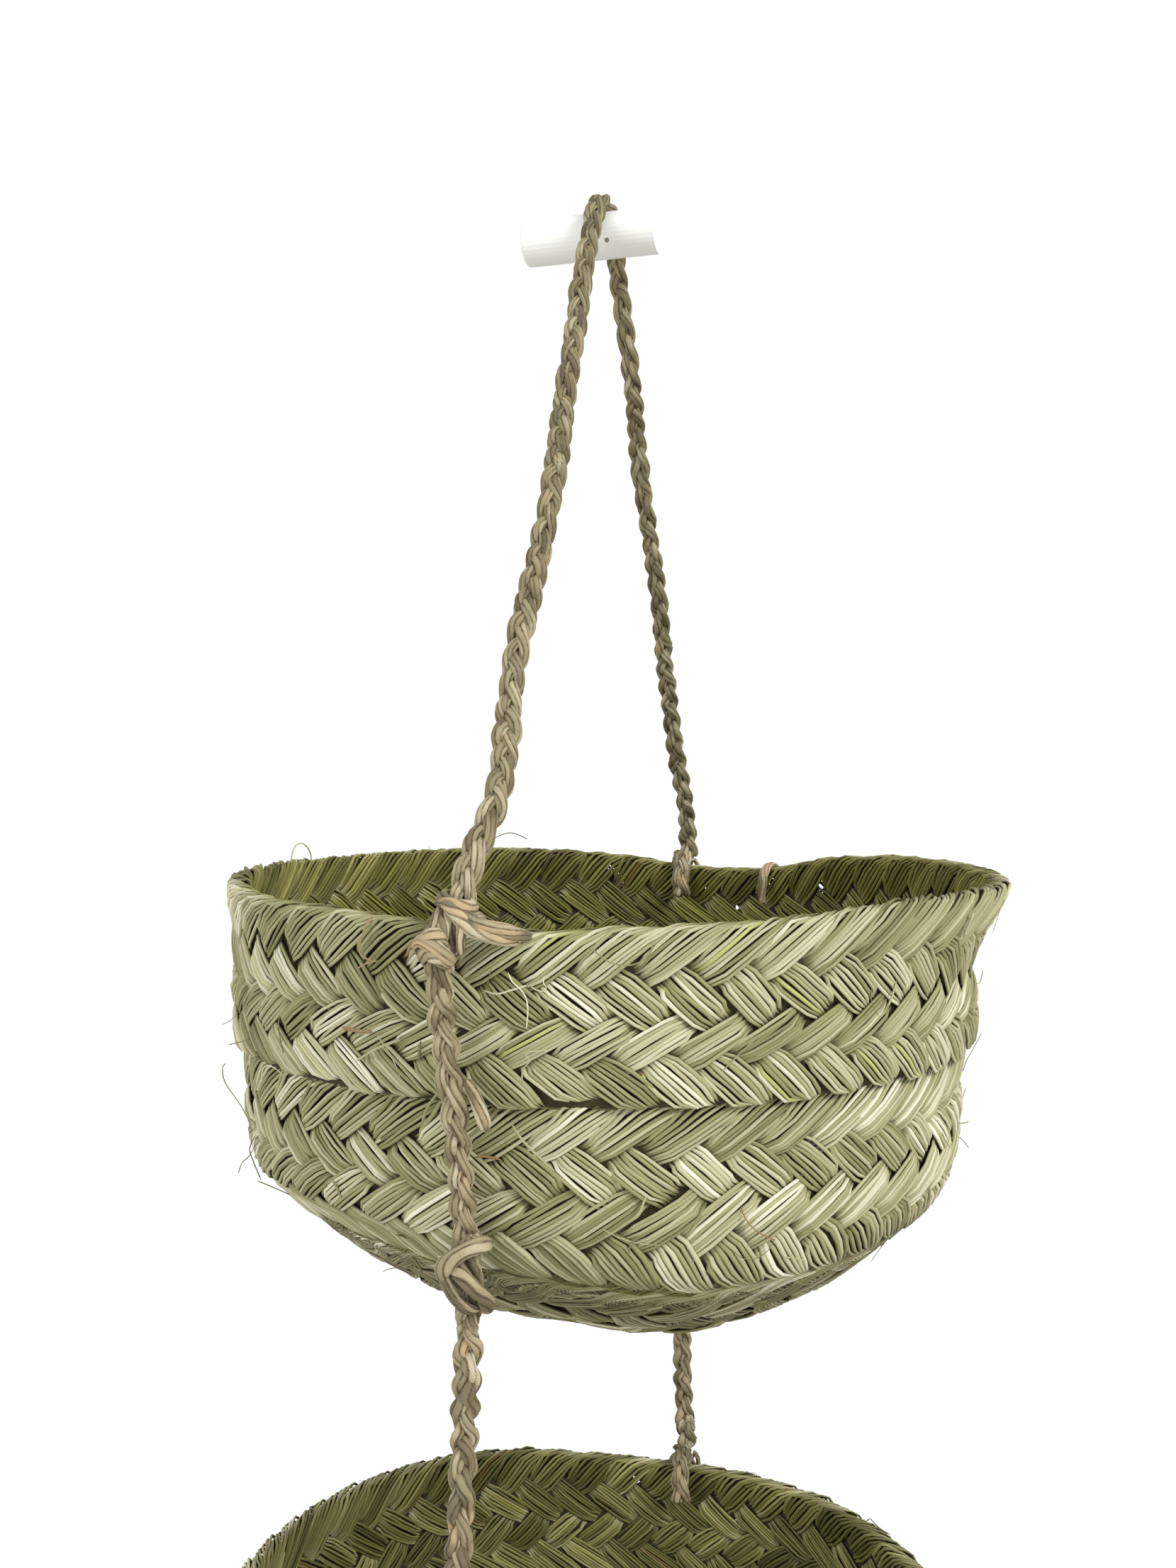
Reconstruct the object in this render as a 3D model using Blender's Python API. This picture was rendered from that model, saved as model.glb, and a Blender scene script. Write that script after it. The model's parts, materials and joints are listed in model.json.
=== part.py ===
"""Two-tier plaited basket set that hangs from one rope over a round wall peg.

Both baskets are bowls of flat plaited courses, sewn edge to edge over seam cords.
The rope lies over the peg, is hitched to the upper rim in front and behind, runs down
the outside of the wall to a knot at the bottom corner, and carries the lower basket.

Frame: metres, +Z up, origin at the centre of the peg's wall face, -Y out of the wall.
The rope's two sides lie to +X (front) and -X (back).
"""
import math

import bmesh
import bpy
from mathutils import Matrix, Vector

MM = 0.001

# Running gaps and facets
GAP = 0.3 * MM
MERGE_DISTANCE = 0.03 * MM
SMOOTH_DEG = 40
KNOT_SMOOTH_DEG = 80
SEGMENTS = 32
CORD_SIDES = 5
ROPE_RESOLUTION = 2
KNOT_SEGMENTS = 10
KNOT_RINGS = 6
ROPE_STEP_DIAMETERS = 2.4
SADDLE_SPANS = 6
HALF_BALL_TURNS_DEG = (15, 40, 65)
RIM_ROLL_TURNS_DEG = (45, 90, 135)

# Peg
PEG_DIAMETER = 18 * MM
PEG_LENGTH = 55 * MM
PEG_WALL_TO_ROPE = 22.5 * MM
PEG_EDGE_ROUND = 1.5 * MM
PEG_SIDES = 32
PEG_ROUND_STEPS = 3

# Rope
ROPE_DIAMETER = 9 * MM
LASHING_DIAMETER = 6 * MM
TAIL_DIAMETER = 7 * MM
LEG_LEAN_DEG = 26.6

# Heights of the two rims below the peg's axis
UPPER_RIM_DROP = 261.5 * MM
RIM_TO_RIM = 296 * MM

# Basket: the plaits' thickness, and the middle of each course's upper edge
PLAIT_THICKNESS = 8 * MM
SEAM_CORD_DIAMETER = 3.5 * MM
RIM_RADIUS = 143.5 * MM
RIM_SEAM_RADIUS = 136.5 * MM
RIM_SEAM_DEPTH = 56.8 * MM
WALL_SEAM_RADIUS = 132.5 * MM
WALL_SEAM_DEPTH = 101 * MM
CORNER_SEAM_RADIUS = 91 * MM
CORNER_SEAM_DEPTH = 141.5 * MM
BASE_SEAM_RADIUS = 47.5 * MM
RIM_BULGE = 4 * MM
WALL_BULGE = 1.2 * MM
CORNER_BULGE = 3 * MM
BASE_BULGE = 0.0
RIM_SPANS = 4
WALL_SPANS = 3
CORNER_SPANS = 4
BASE_SPANS = 1

# Hitches, knots and ties
HITCH_OUTER_TAIL = 12 * MM
HITCH_INNER_TAIL = 14 * MM
HITCH_ARCH_STEPS = 6
RIM_KNOT_SIZE = Vector((15, 20, 21)) * MM
BOTTOM_KNOT_SIZE = Vector((16, 17, 20)) * MM
LOWER_KNOT_SIZE = Vector((14, 17, 18)) * MM
BOTTOM_KNOT_DEPTH = 112 * MM
DROP_RADIUS = 142 * MM
DROP_END_LENGTH = 10 * MM
RIM_TIE_ANGLE_DEG = 163
LASHING_START_DEG = 4.5
LASHING_END_DEG = 25
LASHING_POINTS = 6

# Colours: linear red, green, blue, with roughness and metallic value
STRAW = ("esparto_straw", (0.44, 0.43, 0.25), 0.72, 0.0)
TWINE = ("seam_twine", (0.26, 0.24, 0.12), 0.80, 0.0)
ROPE = ("palm_rope", (0.42, 0.33, 0.22), 0.78, 0.0)
PAINT = ("peg_paint", (0.74, 0.76, 0.73), 0.55, 0.0)

# Derived places
ROPE_RADIUS = ROPE_DIAMETER / 2
HALF_PLAIT = PLAIT_THICKNESS / 2
ROPE_Y = -PEG_WALL_TO_ROPE
SADDLE_RADIUS = PEG_DIAMETER / 2 + GAP + ROPE_RADIUS
LEG_LEAN = math.radians(LEG_LEAN_DEG)
SADDLE_HALF_ANGLE = math.pi / 2 - LEG_LEAN
LEAN_X = SADDLE_RADIUS * math.sin(SADDLE_HALF_ANGLE)
LEAN_Z = SADDLE_RADIUS * math.cos(SADDLE_HALF_ANGLE)
UPPER_RIM_Z = -UPPER_RIM_DROP
LOWER_RIM_Z = UPPER_RIM_Z - RIM_TO_RIM
FACET_SAG = RIM_RADIUS * (1 - math.cos(math.pi / SEGMENTS))
PIVOT_GAP = ROPE_RADIUS + GAP
ARCH_RADIUS = HALF_PLAIT + FACET_SAG + GAP + ROPE_RADIUS
RIM_OUTER_RADIUS = (RIM_RADIUS + RIM_SEAM_RADIUS) / 2 + RIM_BULGE + HALF_PLAIT
HITCH_FOOT_DEPTH = HALF_PLAIT + HITCH_OUTER_TAIL
HITCH_TOP = ARCH_RADIUS + ROPE_RADIUS - HALF_PLAIT
TILT_HEIGHT = HITCH_TOP + PIVOT_GAP
YOKE_Z = UPPER_RIM_Z - BOTTOM_KNOT_DEPTH - BOTTOM_KNOT_SIZE.z / 2 - PIVOT_GAP
SWAY_Z = YOKE_Z - DROP_END_LENGTH
LOWER_TILT_Z = LOWER_RIM_Z + TILT_HEIGHT
LEVEL_Z = LOWER_TILT_Z + DROP_END_LENGTH

# Rope routes: (distance from the basket's axis, sideways, height), measured in
# millimetres from the peg's axis for the leg, and from the rim for the wall runs
FRONT_LEG_ROUTE = (
    (34.0, 0.5, -36.0), (60.0, 2.4, -88.0), (79.5, 3.0, -127.0),
    (104.0, 0.8, -175.0), (124.5, 3.6, -216.0), (136.5, 1.2, -235.0),
)
BACK_LEG_ROUTE = (
    (34.5, 0.4, -38.0), (59.5, -0.8, -86.0), (85.0, 0.6, -138.0),
    (110.0, -0.6, -188.0), (131.0, 0.8, -226.0),
)
WALL_ROUTE = (
    (152.4, 0.0, -47.0), (148.6, 0.2, -60.0), (145.4, 0.5, -73.0),
    (144.0, 0.3, -86.0), (143.0, 0.1, -94.0),
)
DROP_BOW = 1.5 * MM


def clear_scene():
    """Remove whatever objects the open file holds."""
    for thing in list(bpy.data.objects):
        bpy.data.objects.remove(thing, do_unlink=True)


def material(finish):
    """The Principled material of one finish, made once."""
    name, colour, roughness, metallic = finish
    found = bpy.data.materials.get(name)
    if found:
        return found
    made = bpy.data.materials.new(name)
    made.use_nodes = True
    shader = made.node_tree.nodes["Principled BSDF"]
    shader.inputs["Base Color"].default_value = (*colour, 1.0)
    shader.inputs["Roughness"].default_value = roughness
    shader.inputs["Metallic"].default_value = metallic
    return made


def link(name, data, finish, pivot):
    """Put a mesh or curve in the scene under the empty of its joint."""
    data.materials.append(material(finish))
    piece = bpy.data.objects.new(name, data)
    bpy.context.collection.objects.link(piece)
    if pivot is not None:
        piece.parent = pivot
        piece.matrix_parent_inverse = Matrix.Translation(pivot["place"]).inverted()
    return piece


def joint_empty(name, place, parent=None):
    """An empty on a joint's axis, which its pieces are parented to."""
    empty = bpy.data.objects.new(name, None)
    bpy.context.collection.objects.link(empty)
    empty["place"] = Vector(place)
    empty.location = Vector(place)
    if parent is not None:
        empty.parent = parent
        empty.matrix_parent_inverse = Matrix.Translation(parent["place"]).inverted()
    return empty


def finish_mesh(name, bm, finish, pivot, smooth_deg=SMOOTH_DEG):
    """Close, orient and shade a bmesh, and link it as a piece."""
    bmesh.ops.remove_doubles(bm, verts=bm.verts, dist=MERGE_DISTANCE)
    bmesh.ops.recalc_face_normals(bm, faces=bm.faces)
    mesh = bpy.data.meshes.new(name)
    bm.to_mesh(mesh)
    bm.free()
    mesh.shade_smooth()
    mesh.set_sharp_from_angle(angle=math.radians(smooth_deg))
    return link(name, mesh, finish, pivot)


def turned(name, outline, centre, finish, pivot):
    """Turn a closed (radius, height) outline about the vertical through centre."""
    bm = bmesh.new()
    corners = [bm.verts.new((centre.x + r, centre.y, centre.z + h)) for r, h in outline]
    for a, b in zip(corners, corners[1:] + corners[:1]):
        bm.edges.new((a, b))
    bmesh.ops.spin(
        bm, geom=bm.verts[:] + bm.edges[:], cent=centre, axis=(0, 0, 1),
        angle=math.tau, steps=SEGMENTS, use_merge=True, use_duplicate=False,
    )
    return finish_mesh(name, bm, finish, pivot)


def catmull(a, b, c, d, t):
    """The point at share t between b and c of a smooth curve through four points."""
    return 0.5 * (
        2 * b + (c - a) * t + (2 * a - 5 * b + 4 * c - d) * t**2 + (3 * b - a - 3 * c + d) * t**3
    )


def smooth_route(points, step):
    """Points about a step apart along a smooth curve through the given points."""
    ends = [2 * points[0] - points[1], *points, 2 * points[-1] - points[-2]]
    route = [points[0]]
    for a, b, c, d in zip(ends, ends[1:], ends[2:], ends[3:]):
        count = max(1, round((c - b).length / step))
        route += [catmull(a, b, c, d, k / count) for k in range(1, count + 1)]
    return route


def round_end_rings(end, inward, radius):
    """Places and radius shares of three rings that close a rope end in a half ball."""
    return [
        (end - inward * radius * math.cos(turn), math.sin(turn))
        for turn in map(math.radians, HALF_BALL_TURNS_DEG)
    ]


def tube(name, points, diameter, finish, pivot, round_start=False, round_finish=False):
    """A rope or cord: a bevelled curve with filled caps, its ends flat or half balls."""
    radius = diameter / 2
    rings = [(point, 1.0) for point in points]
    if round_start:
        inward = (points[1] - points[0]).normalized()
        rings = round_end_rings(points[0], inward, radius) + rings
    if round_finish:
        inward = (points[-2] - points[-1]).normalized()
        rings = rings + round_end_rings(points[-1], inward, radius)[::-1]
    curve = bpy.data.curves.new(name, "CURVE")
    curve.dimensions = "3D"
    curve.bevel_depth = radius
    curve.bevel_resolution = ROPE_RESOLUTION
    curve.use_fill_caps = True
    spline = curve.splines.new("POLY")
    spline.points.add(len(rings) - 1)
    spline.use_smooth = True
    for knot_point, (place, share) in zip(spline.points, rings):
        knot_point.co = (*place, 1.0)
        knot_point.radius = share
    return link(name, curve, finish, pivot)


def lump(name, centre, size, finish, pivot):
    """A tied knot's outer shape: a rounded lump of the given size."""
    bm = bmesh.new()
    bmesh.ops.create_uvsphere(bm, u_segments=KNOT_SEGMENTS, v_segments=KNOT_RINGS, radius=0.5)
    bmesh.ops.scale(bm, vec=size, verts=bm.verts)
    bmesh.ops.translate(bm, vec=centre, verts=bm.verts)
    return finish_mesh(name, bm, finish, pivot, smooth_deg=KNOT_SMOOTH_DEG)


def course_line(top, low, bulge, spans, top_setback, low_setback):
    """Points down the middle of a course, bulged outwards and set back from its seams."""
    along = low - top
    outward = Vector((-along.y, along.x)).normalized()
    start = top_setback / along.length
    stop = 1 - low_setback / along.length
    line = []
    for k in range(spans + 1):
        share = start + (stop - start) * k / spans
        line.append(top + along * share + outward * (bulge * 4 * share * (1 - share)))
    return line


def course_outline(line, rolled_top):
    """The closed outline of a course of even thickness along its middle line."""
    outer, inner = [], []
    for k, point in enumerate(line):
        before = line[max(0, k - 1)]
        after = line[min(len(line) - 1, k + 1)]
        along = (after - before).normalized()
        outward = Vector((-along.y, along.x))
        outer.append(point + outward * HALF_PLAIT)
        inner.append(point - outward * HALF_PLAIT)
    roll = []
    if rolled_top:
        middle = line[0]
        for turn in map(math.radians, RIM_ROLL_TURNS_DEG):
            roll.append(middle + Vector((-math.cos(turn), math.sin(turn))) * HALF_PLAIT)
    return inner[::-1] + roll + outer


def make_basket(prefix, rim_z, pivot):
    """One basket: four turned courses, a round base centre and the seam cords between."""
    centre = Vector((0, ROPE_Y, rim_z))
    rim_top = Vector((RIM_RADIUS, -HALF_PLAIT))
    rim_seam = Vector((RIM_SEAM_RADIUS, -RIM_SEAM_DEPTH))
    wall_seam = Vector((WALL_SEAM_RADIUS, -WALL_SEAM_DEPTH))
    corner_seam = Vector((CORNER_SEAM_RADIUS, -CORNER_SEAM_DEPTH))
    base_seam = Vector((BASE_SEAM_RADIUS, -CORNER_SEAM_DEPTH))
    setback = SEAM_CORD_DIAMETER / 2 + GAP
    courses = (
        ("rim_plait", rim_top, rim_seam, RIM_BULGE, RIM_SPANS, 0.0),
        ("wall_plait", rim_seam, wall_seam, WALL_BULGE, WALL_SPANS, setback),
        ("corner_plait", wall_seam, corner_seam, CORNER_BULGE, CORNER_SPANS, setback),
        ("base_plait", corner_seam, base_seam, BASE_BULGE, BASE_SPANS, setback),
    )
    for name, top, low, bulge, spans, top_setback in courses:
        line = course_line(top, low, bulge, spans, top_setback, setback)
        outline = course_outline(line, rolled_top=name == "rim_plait")
        turned(f"{prefix}_{name}", outline, centre, STRAW, pivot)
    seams = (
        ("rim_seam_cord", rim_seam),
        ("wall_seam_cord", wall_seam),
        ("corner_seam_cord", corner_seam),
        ("base_seam_cord", base_seam),
    )
    for name, seam in seams:
        ring = []
        for k in range(CORD_SIDES):
            turn = math.tau * k / CORD_SIDES
            ring.append(seam + Vector((math.cos(turn), math.sin(turn))) * SEAM_CORD_DIAMETER / 2)
        turned(f"{prefix}_{name}", ring, centre, TWINE, pivot)
    make_base_centre(prefix, centre, setback, pivot)


def make_base_centre(prefix, centre, setback, pivot):
    """The round start of the plait in the middle of the base."""
    bm = bmesh.new()
    radius = BASE_SEAM_RADIUS - setback
    bmesh.ops.create_cone(
        bm, cap_ends=True, segments=SEGMENTS, radius1=radius, radius2=radius, depth=PLAIT_THICKNESS,
    )
    place = centre - Vector((0, 0, CORNER_SEAM_DEPTH))
    bmesh.ops.translate(bm, vec=place, verts=bm.verts)
    finish_mesh(f"{prefix}_base_centre", bm, STRAW, pivot)


def make_peg():
    """The round peg: a turned bar with a flat wall face and a softened free end."""
    radius = PEG_DIAMETER / 2
    bm = bmesh.new()
    bmesh.ops.create_cone(
        bm, cap_ends=True, segments=PEG_SIDES, radius1=radius, radius2=radius, depth=PEG_LENGTH,
    )
    lie_down = Matrix.Rotation(math.pi / 2, 4, "X")
    bmesh.ops.transform(bm, matrix=lie_down, verts=bm.verts)
    bmesh.ops.translate(bm, vec=(0, -PEG_LENGTH / 2, 0), verts=bm.verts)
    free_rim = [
        edge for edge in bm.edges
        if all(vert.co.y < -PEG_LENGTH / 2 for vert in edge.verts)
    ]
    bmesh.ops.bevel(
        bm, geom=free_rim, offset=PEG_EDGE_ROUND, offset_type="OFFSET", affect="EDGES",
        segments=PEG_ROUND_STEPS, profile=0.5, material=-1,
    )
    finish_mesh("wall_peg", bm, PAINT, None)


def make_saddle(pivot):
    """The rope's bend over the peg, ending short of the half balls of the two legs."""
    ends_at = SADDLE_HALF_ANGLE - PIVOT_GAP / SADDLE_RADIUS
    points = []
    for k in range(SADDLE_SPANS + 1):
        turn = ends_at * (1 - 2 * k / SADDLE_SPANS)
        points.append(
            Vector((SADDLE_RADIUS * math.sin(turn), ROPE_Y, SADDLE_RADIUS * math.cos(turn)))
        )
    tube("peg_saddle_rope", points, ROPE_DIAMETER, ROPE, pivot)


def side_point(side, row, base_z):
    """A route's point in metres, on the front (+1) or back (-1) side of the basket."""
    out, sideways, height = row
    return Vector((side * out * MM, ROPE_Y + sideways * MM, base_z + height * MM))


def make_leg(name, side, route, pivot):
    """One side of the rope from the peg down to the rim hitch, with half ball ends."""
    start = Vector((side * LEAN_X, ROPE_Y, LEAN_Z))
    finish = Vector((side * RIM_RADIUS, ROPE_Y, UPPER_RIM_Z + TILT_HEIGHT))
    points = [start] + [side_point(side, row, 0.0) for row in route] + [finish]
    step = ROPE_DIAMETER * ROPE_STEP_DIAMETERS
    tube(
        name, smooth_route(points, step), ROPE_DIAMETER, ROPE, pivot,
        round_start=True, round_finish=True,
    )


def make_hitch(name, angle_deg, rim_z, diameter, foot_radius, pivot):
    """A turn of rope over the rim, hanging down inside and outside the wall."""
    reach = ARCH_RADIUS - ROPE_RADIUS + diameter / 2
    outward = Matrix.Rotation(math.radians(angle_deg), 3, "Z") @ Vector((1, 0, 0))
    up = Vector((0, 0, 1))
    crown = Vector((0, ROPE_Y, rim_z - HALF_PLAIT)) + outward * RIM_RADIUS
    points = [crown - outward * reach - up * HITCH_INNER_TAIL]
    for k in range(HITCH_ARCH_STEPS + 1):
        turn = math.pi * k / HITCH_ARCH_STEPS
        points.append(crown - outward * (reach * math.cos(turn)) + up * (reach * math.sin(turn)))
    points.append(crown + outward * (foot_radius - RIM_RADIUS) - up * HITCH_OUTER_TAIL)
    tube(name, points, diameter, ROPE, pivot)


def make_rim_ties(side, names, size, rim_z, pivot):
    """A hitch over the rim with its knot below; returns where the knot's underside is."""
    hitch_name, knot_name = names
    out = RIM_OUTER_RADIUS + GAP + size.x / 2
    make_hitch(hitch_name, 0 if side > 0 else 180, rim_z, ROPE_DIAMETER, out, pivot)
    middle = Vector((side * out, ROPE_Y, rim_z - HITCH_FOOT_DEPTH - GAP - size.z / 2))
    lump(knot_name, middle, size, ROPE, pivot)
    return middle - Vector((0, 0, size.z / 2 + GAP))


def make_side_fittings(side, word, pivot):
    """The rope's run down the outside of the upper basket, with its hitch and knots."""
    names = (f"{word}_rim_hitch", f"{word}_rim_knot")
    start = make_rim_ties(side, names, RIM_KNOT_SIZE, UPPER_RIM_Z, pivot)
    knot = Vector((side * DROP_RADIUS, ROPE_Y, UPPER_RIM_Z - BOTTOM_KNOT_DEPTH))
    end = knot + Vector((0, 0, BOTTOM_KNOT_SIZE.z / 2 + GAP))
    route = [start] + [side_point(side, row, UPPER_RIM_Z) for row in WALL_ROUTE] + [end]
    step = ROPE_DIAMETER * ROPE_STEP_DIAMETERS
    tube(f"{word}_wall_rope", smooth_route(route, step), ROPE_DIAMETER, ROPE, pivot)
    lump(f"{word}_bottom_knot", knot, BOTTOM_KNOT_SIZE, ROPE, pivot)


def make_lashing(pivot):
    """The thin rope lashed along the top of the rim beside the front hitch."""
    points = []
    for k in range(LASHING_POINTS + 1):
        share = k / LASHING_POINTS
        turn = math.radians(LASHING_START_DEG + (LASHING_END_DEG - LASHING_START_DEG) * share)
        clear = GAP + LASHING_DIAMETER / 2
        points.append(Vector((
            RIM_RADIUS * math.cos(turn), ROPE_Y + RIM_RADIUS * math.sin(turn), UPPER_RIM_Z + clear,
        )))
    tube("rim_lashing_rope", points, LASHING_DIAMETER, ROPE, pivot)


def make_tail(pivot):
    """The cut end of the front knot's rope, lying beside the wall run."""
    beside = Vector((0, ROPE_RADIUS + TAIL_DIAMETER / 2 + GAP, 0))
    top, low = (side_point(1, row, UPPER_RIM_Z) + beside for row in WALL_ROUTE[:2])
    tube("front_rope_tail", [top, (top + low) / 2, low], TAIL_DIAMETER, ROPE, pivot)


def make_drop_end(name, side, ball_z, flat_z, pivot):
    """A short stretch of rope between two crossing hinge axes, with one half ball end."""
    ball = Vector((side * DROP_RADIUS, ROPE_Y, ball_z))
    flat = Vector((side * DROP_RADIUS, ROPE_Y, flat_z))
    tube(name, [ball, (ball + flat) / 2, flat], ROPE_DIAMETER, ROPE, pivot, round_start=True)


def make_drop(name, side, pivot):
    """The rope between the two baskets on one side."""
    top = Vector((side * DROP_RADIUS, ROPE_Y, SWAY_Z))
    low = Vector((side * DROP_RADIUS, ROPE_Y, LEVEL_Z))
    bowed = (top + low) / 2 + Vector((side * DROP_BOW, 0, 0))
    step = ROPE_DIAMETER * ROPE_STEP_DIAMETERS
    tube(name, smooth_route([top, bowed, low], step), ROPE_DIAMETER, ROPE, pivot, True, True)


def main():
    """Build the peg, the rope and both baskets under the empties of their joints."""
    clear_scene()
    make_peg()
    swing = joint_empty("swing_axis", (0, ROPE_Y, 0))
    lean = joint_empty("lean_axis", (0, ROPE_Y, LEAN_Z), swing)
    tilt = joint_empty("upper_tilt_axis", (0, ROPE_Y, UPPER_RIM_Z + TILT_HEIGHT), lean)
    yoke = joint_empty("lower_lean_axis", (0, ROPE_Y, YOKE_Z), tilt)
    front_sway = joint_empty("front_sway_axis", (DROP_RADIUS, ROPE_Y, SWAY_Z), yoke)
    back_sway = joint_empty("back_sway_axis", (-DROP_RADIUS, ROPE_Y, SWAY_Z), yoke)
    level = joint_empty("level_axis", (DROP_RADIUS, ROPE_Y, LEVEL_Z), front_sway)
    lower_tilt = joint_empty("lower_tilt_axis", (0, ROPE_Y, LOWER_TILT_Z), level)

    make_saddle(swing)
    make_leg("front_leg_rope", 1, FRONT_LEG_ROUTE, lean)
    make_leg("back_leg_rope", -1, BACK_LEG_ROUTE, lean)
    make_basket("upper", UPPER_RIM_Z, tilt)
    make_side_fittings(1, "front", tilt)
    make_side_fittings(-1, "back", tilt)
    make_lashing(tilt)
    make_tail(tilt)
    tie_foot = RIM_OUTER_RADIUS + ROPE_RADIUS
    make_hitch("back_rim_tie", RIM_TIE_ANGLE_DEG, UPPER_RIM_Z, LASHING_DIAMETER, tie_foot, tilt)
    for side, word, sway in ((1, "front", front_sway), (-1, "back", back_sway)):
        make_drop_end(f"{word}_drop_head", side, YOKE_Z, SWAY_Z + PIVOT_GAP, yoke)
        make_drop(f"{word}_drop_rope", side, sway)
        make_drop_end(f"{word}_drop_foot", side, LOWER_TILT_Z, LEVEL_Z - PIVOT_GAP, level)
        names = (f"lower_{word}_hitch", f"lower_{word}_knot")
        make_rim_ties(side, names, LOWER_KNOT_SIZE, LOWER_RIM_Z, lower_tilt)
    make_basket("lower", LOWER_RIM_Z, lower_tilt)


main()
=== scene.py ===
"""Looks of a two-tier plaited basket set on one rope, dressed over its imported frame.

Every basket course is a nine-strand herringbone plait. Each strand is a flat bundle of
grass stems that runs up to one edge of the course, folds over it and runs back to the
other, and each stem is a tube of its own. The ropes are three-strand braids of leaf.
"""

import json
import math
from collections import namedtuple

import bmesh
import bpy
import numpy as np
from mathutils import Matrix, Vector


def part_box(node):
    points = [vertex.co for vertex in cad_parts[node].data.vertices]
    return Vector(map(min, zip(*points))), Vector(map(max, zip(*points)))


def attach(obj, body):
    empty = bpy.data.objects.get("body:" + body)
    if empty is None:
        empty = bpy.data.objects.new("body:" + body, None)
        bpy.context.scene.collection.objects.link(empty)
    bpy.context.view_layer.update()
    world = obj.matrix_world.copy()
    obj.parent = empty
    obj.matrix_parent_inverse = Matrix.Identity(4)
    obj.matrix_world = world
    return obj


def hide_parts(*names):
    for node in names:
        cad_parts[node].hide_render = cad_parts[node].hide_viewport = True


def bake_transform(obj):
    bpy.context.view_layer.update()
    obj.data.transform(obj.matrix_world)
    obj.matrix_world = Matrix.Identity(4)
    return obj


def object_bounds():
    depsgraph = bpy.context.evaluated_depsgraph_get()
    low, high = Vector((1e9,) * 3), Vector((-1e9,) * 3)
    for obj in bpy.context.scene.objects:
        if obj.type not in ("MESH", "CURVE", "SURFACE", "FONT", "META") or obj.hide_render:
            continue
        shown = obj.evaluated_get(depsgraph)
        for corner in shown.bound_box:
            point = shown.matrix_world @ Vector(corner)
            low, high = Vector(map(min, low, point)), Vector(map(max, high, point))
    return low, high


bl_info = {
    "name": "Two-Tier Wall Basket Looks",
    "version": (1, 0, 0),
    "blender": (4, 5, 0),
    "location": "3D View > Sidebar > Basket",
    "description": "Dresses the packed wall basket with plaited grass, braided rope and paint",
    "category": "Object",
}

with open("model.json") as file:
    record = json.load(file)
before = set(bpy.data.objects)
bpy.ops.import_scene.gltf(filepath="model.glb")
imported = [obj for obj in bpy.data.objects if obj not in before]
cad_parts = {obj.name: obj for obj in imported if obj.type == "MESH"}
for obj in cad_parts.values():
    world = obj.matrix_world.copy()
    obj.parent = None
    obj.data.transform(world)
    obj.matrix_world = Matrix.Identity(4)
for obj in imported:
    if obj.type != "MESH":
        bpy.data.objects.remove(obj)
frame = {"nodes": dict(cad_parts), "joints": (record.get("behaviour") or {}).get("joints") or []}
FRAME_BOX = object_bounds()
MM = 0.001

# Places taken from the frame
RIM_LOW, RIM_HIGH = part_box("upper_rim_plait")
UPPER_RIM_Z = RIM_HIGH.z
LOWER_RIM_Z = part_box("lower_rim_plait")[1].z
AXIS_Y = (RIM_LOW.y + RIM_HIGH.y) / 2
JOINT_AT = {joint["name"]: joint["pos_m"] for joint in frame["joints"]}
YOKE_Z = JOINT_AT["lower_lean"][2]
DROP_X, _, SWAY_Z = JOINT_AT["front_sway"]
LEVEL_Z = JOINT_AT["level"][2]
LOWER_TILT_Z = JOINT_AT["lower_tilt"][2]

# The plait: strands across a course, and the crossings where a strand changes side
STRANDS_ACROSS = 9
SIDE_TABLE = (
    (0.0, 0.0), (0.35, 0.62), (0.8, 0.97), (1.5, 1.08), (2.1, 0.96), (2.3, 0.68),
    (2.5, 0.0), (2.7, -0.68), (2.9, -0.96), (3.5, -1.08), (4.1, -0.96), (4.3, -0.68),
    (4.5, 0.0), (4.7, 0.68), (4.9, 0.96), (5.5, 1.08), (6.1, 0.96), (6.3, 0.68),
    (6.5, 0.0), (6.7, -0.68), (6.9, -0.96), (7.5, -1.08), (8.2, -0.97), (8.65, -0.62),
    (9.0, 0.0),
)
STEP_AT = (0.0, 0.4, 0.9, 1.5, 2.1, 2.38, 2.62, 2.9, 3.5, 4.1, 4.38, 4.62, 4.9, 5.5, 6.1,
           6.38, 6.62, 6.9, 7.5, 8.1, 8.6, 9.0)

# How a strand lies, in crossings from the edge it folds over: where its stems begin to bunch,
# how far the fold reaches and how far it is spread
FOLD_TOP = 0.2
FOLD_REACH = 0.5
SPLAY_REACH = 0.8
# Shares of the room that a strand has: how wide its stems lie, and what their own thickness
# fills
STRAND_FILL = (0.88, 0.98)
STEMS_FILL = 0.93
# How far a stem strays at most, as a share of its own room in the strand
STEM_STRAY = 0.12
# How much the middle of a strand bulges inside the basket, as a share of the bulge outside
INSIDE_CROWN = 0.35
# How far the stems are pressed together at least and at most, as shares of their radius
PRESSED = (0.66, 1.40)
# How far the stand-off at a course's upper edge, and at its lower edge, reaches into it
TOP_REACH = 9 * MM
LOW_REACH = 7 * MM

# The dark sheet of painted shade inside the plait: its thickness, the steps round it, the
# distance between its rows, where they begin and end in a course, and how far they go
# over the next one
CORE_THICK = 0.4 * MM
CORE_STEPS = 224
CORE_ROW = 6 * MM
CORE_TOP = 1.5 * MM
CORE_END = 1.0 * MM
CORE_OVER = 2.5 * MM
# The part of a basket, in degrees from the front, where light comes through the sheet
LIGHT_BETWEEN = (112, 196)

# Points round one strand of rope, and distance between the points of a stray fibre
ROPE_SIDES = 24
STRAY_STEP = 1.6 * MM
# Radius of a tube's closed end, and small numbers that keep a division from failing
CLOSED = 1e-7
SMALL = 1e-5
TINY = 1e-9
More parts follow.
